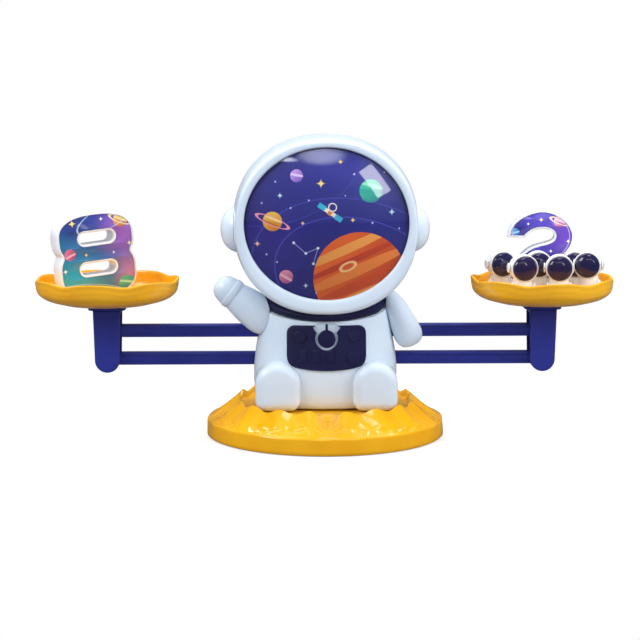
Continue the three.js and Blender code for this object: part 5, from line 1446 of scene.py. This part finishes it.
visor_abs = abs_plastic("midnight moulded ABS, polished", "#1E2048", "#2A1E40", gloss=(0.05, 0.1),
                        ripple=0.004)
figure = merged("figure", counter_body(), 40)
face = counter_visor()
for k, (across, deep, turn) in enumerate(COUNTERS, 1):
    far = math.hypot(across, deep) * TRAY_RADIUS + 5.2
    floor = TRAY_FLOOR + 0.65 * min(1, far / 36) + max(0, far - 36) * 0.55
    spot = (HALF_SPAN + across * TRAY_RADIUS, deep * TRAY_RADIUS, TRAY_BASE + floor + 0.3)
    place = Matrix.Translation(spot) @ Matrix.Rotation(math.radians(turn), 4, "Z")
    body = piece_of(f"figure_{k}_body", moved(figure, place))
    stands_for(body, f"figure_{k}", [f"counter_{k}"], "counter_plastic", counter_abs)
    visor = piece_of(f"figure_{k}_visor", moved(face, place))
    stands_for(visor, f"figure_{k}", [f"counter_visor_{k}"], "visor_plastic", visor_abs)

# %% [markdown]
# ## The studio
# A catalogue picture like this is made on a white sweep. A soft key bank stands on the left and a fill bank
# on the right, a wide bank hangs above, a narrow strip shines from behind, and a small window lamp leaves
# one bright mark. The backdrop that the camera sees is plain white. Gloss shows its surroundings, so
# mirrored rays meet a dim sky with three soft bright places instead. The camera stands 1.23 m away with a
# long lens and looks eight degrees down, so the trays show a thin slice of their inside.


# %% Floor and world
def white_sweep():
    """The floor: white to the eye, but the soft shadow under the base stays."""
    material, tree, out, where = new_material("white paper sweep")
    fibre = noise_at(tree, where, 14, 4.0)
    tint = blended(tree, fibre, linear("#FFFFFF"), linear("#FCFCFE"))
    paper = add(tree, "ShaderNodeBsdfDiffuse", {"Color": tint}).outputs[0]
    kinds = add(tree, "ShaderNodeLightPath").outputs
    mirror = maths(tree, "MAXIMUM", kinds["Is Glossy Ray"], kinds["Is Transmission Ray"])
    turned_down = blended(tree, mirror, linear("#929399"), linear("#4C4C50"))
    bounce = add(tree, "ShaderNodeBsdfDiffuse", {"Color": turned_down}).outputs[0]
    glow = add(tree, "ShaderNodeEmission", {"Color": (1, 1, 1, 1), "Strength": 1.0}).outputs[0]
    far = add(tree, "ShaderNodeVectorMath", {0: where}, operation="LENGTH").outputs["Value"]
    # Near the toy the paper shows its shadow, and from 0.12 to 0.36 m out it fades into plain white.
    away = eased(tree, far, 0.12, 0.36, 0.45, 1.0)
    seen = add(tree, "ShaderNodeMixShader", {0: away, 1: paper, 2: glow}).outputs[0]
    mix = add(tree, "ShaderNodeMixShader", {0: kinds["Is Camera Ray"], 1: bounce, 2: seen})
    tree.links.new(mix.outputs[0], out.inputs[0])
    return material


HALF_FLOOR = 2.4
corners = [(x * HALF_FLOOR, y * HALF_FLOOR, 0) for x, y in ((-1, -1), (1, -1), (1, 1), (-1, 1))]
floor_mesh = bpy.data.meshes.new("sweep")
floor_mesh.from_pydata(corners, [], [(0, 1, 2, 3)])
sweep = piece_of("sweep", floor_mesh)
sweep.data.materials.append(white_sweep())

world = bpy.data.worlds.new("studio")
bpy.context.scene.world = world
world.use_nodes = True
sky = world.node_tree
sky.nodes.clear()
sky_out = add(sky, "ShaderNodeOutputWorld")
ray = add(sky, "ShaderNodeLightPath").outputs
mirrored = maths(sky, "MAXIMUM", ray["Is Glossy Ray"], ray["Is Transmission Ray"])
soft = add(sky, "ShaderNodeBackground", {"Color": linear("#EEF3FB"), "Strength": 0.72}).outputs[0]
incoming = add(sky, "ShaderNodeNewGeometry").outputs["Incoming"]
towards = add(sky, "ShaderNodeVectorMath", {0: incoming, 1: (-1, -1, -1)}, operation="MULTIPLY").outputs[0]
sky_parts = add(sky, "ShaderNodeSeparateXYZ", {0: towards}).outputs
sky_turn = maths(sky, "ARCTAN2", sky_parts[0], maths(sky, "MULTIPLY", sky_parts[1], -1.0))
sky_rise = maths(sky, "ARCSINE", sky_parts[2])


def soft_bank(azimuth, height, wide, tall, strength):
    """A soft-edged bright place in the sky, in degrees from the front and above the table."""
    across = maths(sky, "DIVIDE", maths(sky, "SUBTRACT", sky_turn, math.radians(azimuth)), math.radians(wide))
    up = maths(sky, "DIVIDE", maths(sky, "SUBTRACT", sky_rise, math.radians(height)), math.radians(tall))
    far = maths(sky, "ADD", maths(sky, "MULTIPLY", across, across), maths(sky, "MULTIPLY", up, up))
    return eased(sky, far, 1.0, 0.0, 0.0, strength)


low_banks = maths(sky, "ADD", soft_bank(-1, 32.5, 15, 5.5, 3.0), soft_bank(-22, 30, 10, 1.6, 8.0))
banks = maths(sky, "ADD", low_banks, soft_bank(0, 74, 56, 12, 6.0))
dim = maths(sky, "ADD", banks, 0.15)
flagged = add(sky, "ShaderNodeBackground", {"Color": linear("#EEF3FB"), "Strength": dim}).outputs[0]
white = add(sky, "ShaderNodeBackground", {"Color": (1, 1, 1, 1), "Strength": 1.0}).outputs[0]
unseen = add(sky, "ShaderNodeMixShader", {0: mirrored, 1: soft, 2: flagged}).outputs[0]
sky_mix = add(sky, "ShaderNodeMixShader", {0: ray["Is Camera Ray"], 1: unseen, 2: white})
sky.links.new(sky_mix.outputs[0], sky_out.inputs[0])


# %% Lamps and camera
def soft_lamp(name, place, target, wide, tall, watts, roll=0.0):
    data = bpy.data.lights.new(name, "AREA")
    data.shape, data.size, data.size_y = "RECTANGLE", wide, tall
    data.energy = watts
    lamp = bpy.data.objects.new(name, data)
    bpy.context.scene.collection.objects.link(lamp)
    lamp.location = place
    aim = (Vector(target) - Vector(place)).to_track_quat("-Z", "Y").to_matrix()
    lamp.rotation_euler = (aim @ Matrix.Rotation(math.radians(roll), 3, "Z")).to_euler()
    return lamp


soft_lamp("key bank", (-0.9, -0.5, 0.8), (0, 0, 0.1), 0.5, 0.5, 6.6)
soft_lamp("fill bank", (0.95, -0.45, 0.6), (0, 0, 0.1), 0.5, 0.6, 6.2).visible_glossy = False
soft_lamp("top bank", (0, 0.1, 1.2), (0, 0, 0), 1.0, 0.6, 8.0).visible_glossy = False
soft_lamp("back strip", (0, 0.5, 1.05), (0, 0, 0.1), 1.2, 0.22, 6.5)
soft_lamp("right window", (0.485, -1.0, 0.53), (0, 0, 0.12), 0.15, 0.34, 0.7, 28)

TARGET, DISTANCE, PITCH, AZIMUTH = Vector((-3.6, 0, 79)) * MM, 1.230, math.radians(8), math.radians(-1.35)
lens_data = bpy.data.cameras.new("camera")
lens_data.lens, lens_data.sensor_width = 100.0, 36.0
camera = bpy.data.objects.new("camera", lens_data)
bpy.context.scene.collection.objects.link(camera)
level = math.cos(PITCH)
aside = Vector((math.sin(AZIMUTH) * level, -math.cos(AZIMUTH) * level, math.sin(PITCH)))
camera.location = TARGET + DISTANCE * aside
camera.rotation_euler = (TARGET - camera.location).to_track_quat("-Z", "Y").to_euler()
bpy.context.scene.camera = camera
bpy.context.scene.view_settings.view_transform = "Standard"
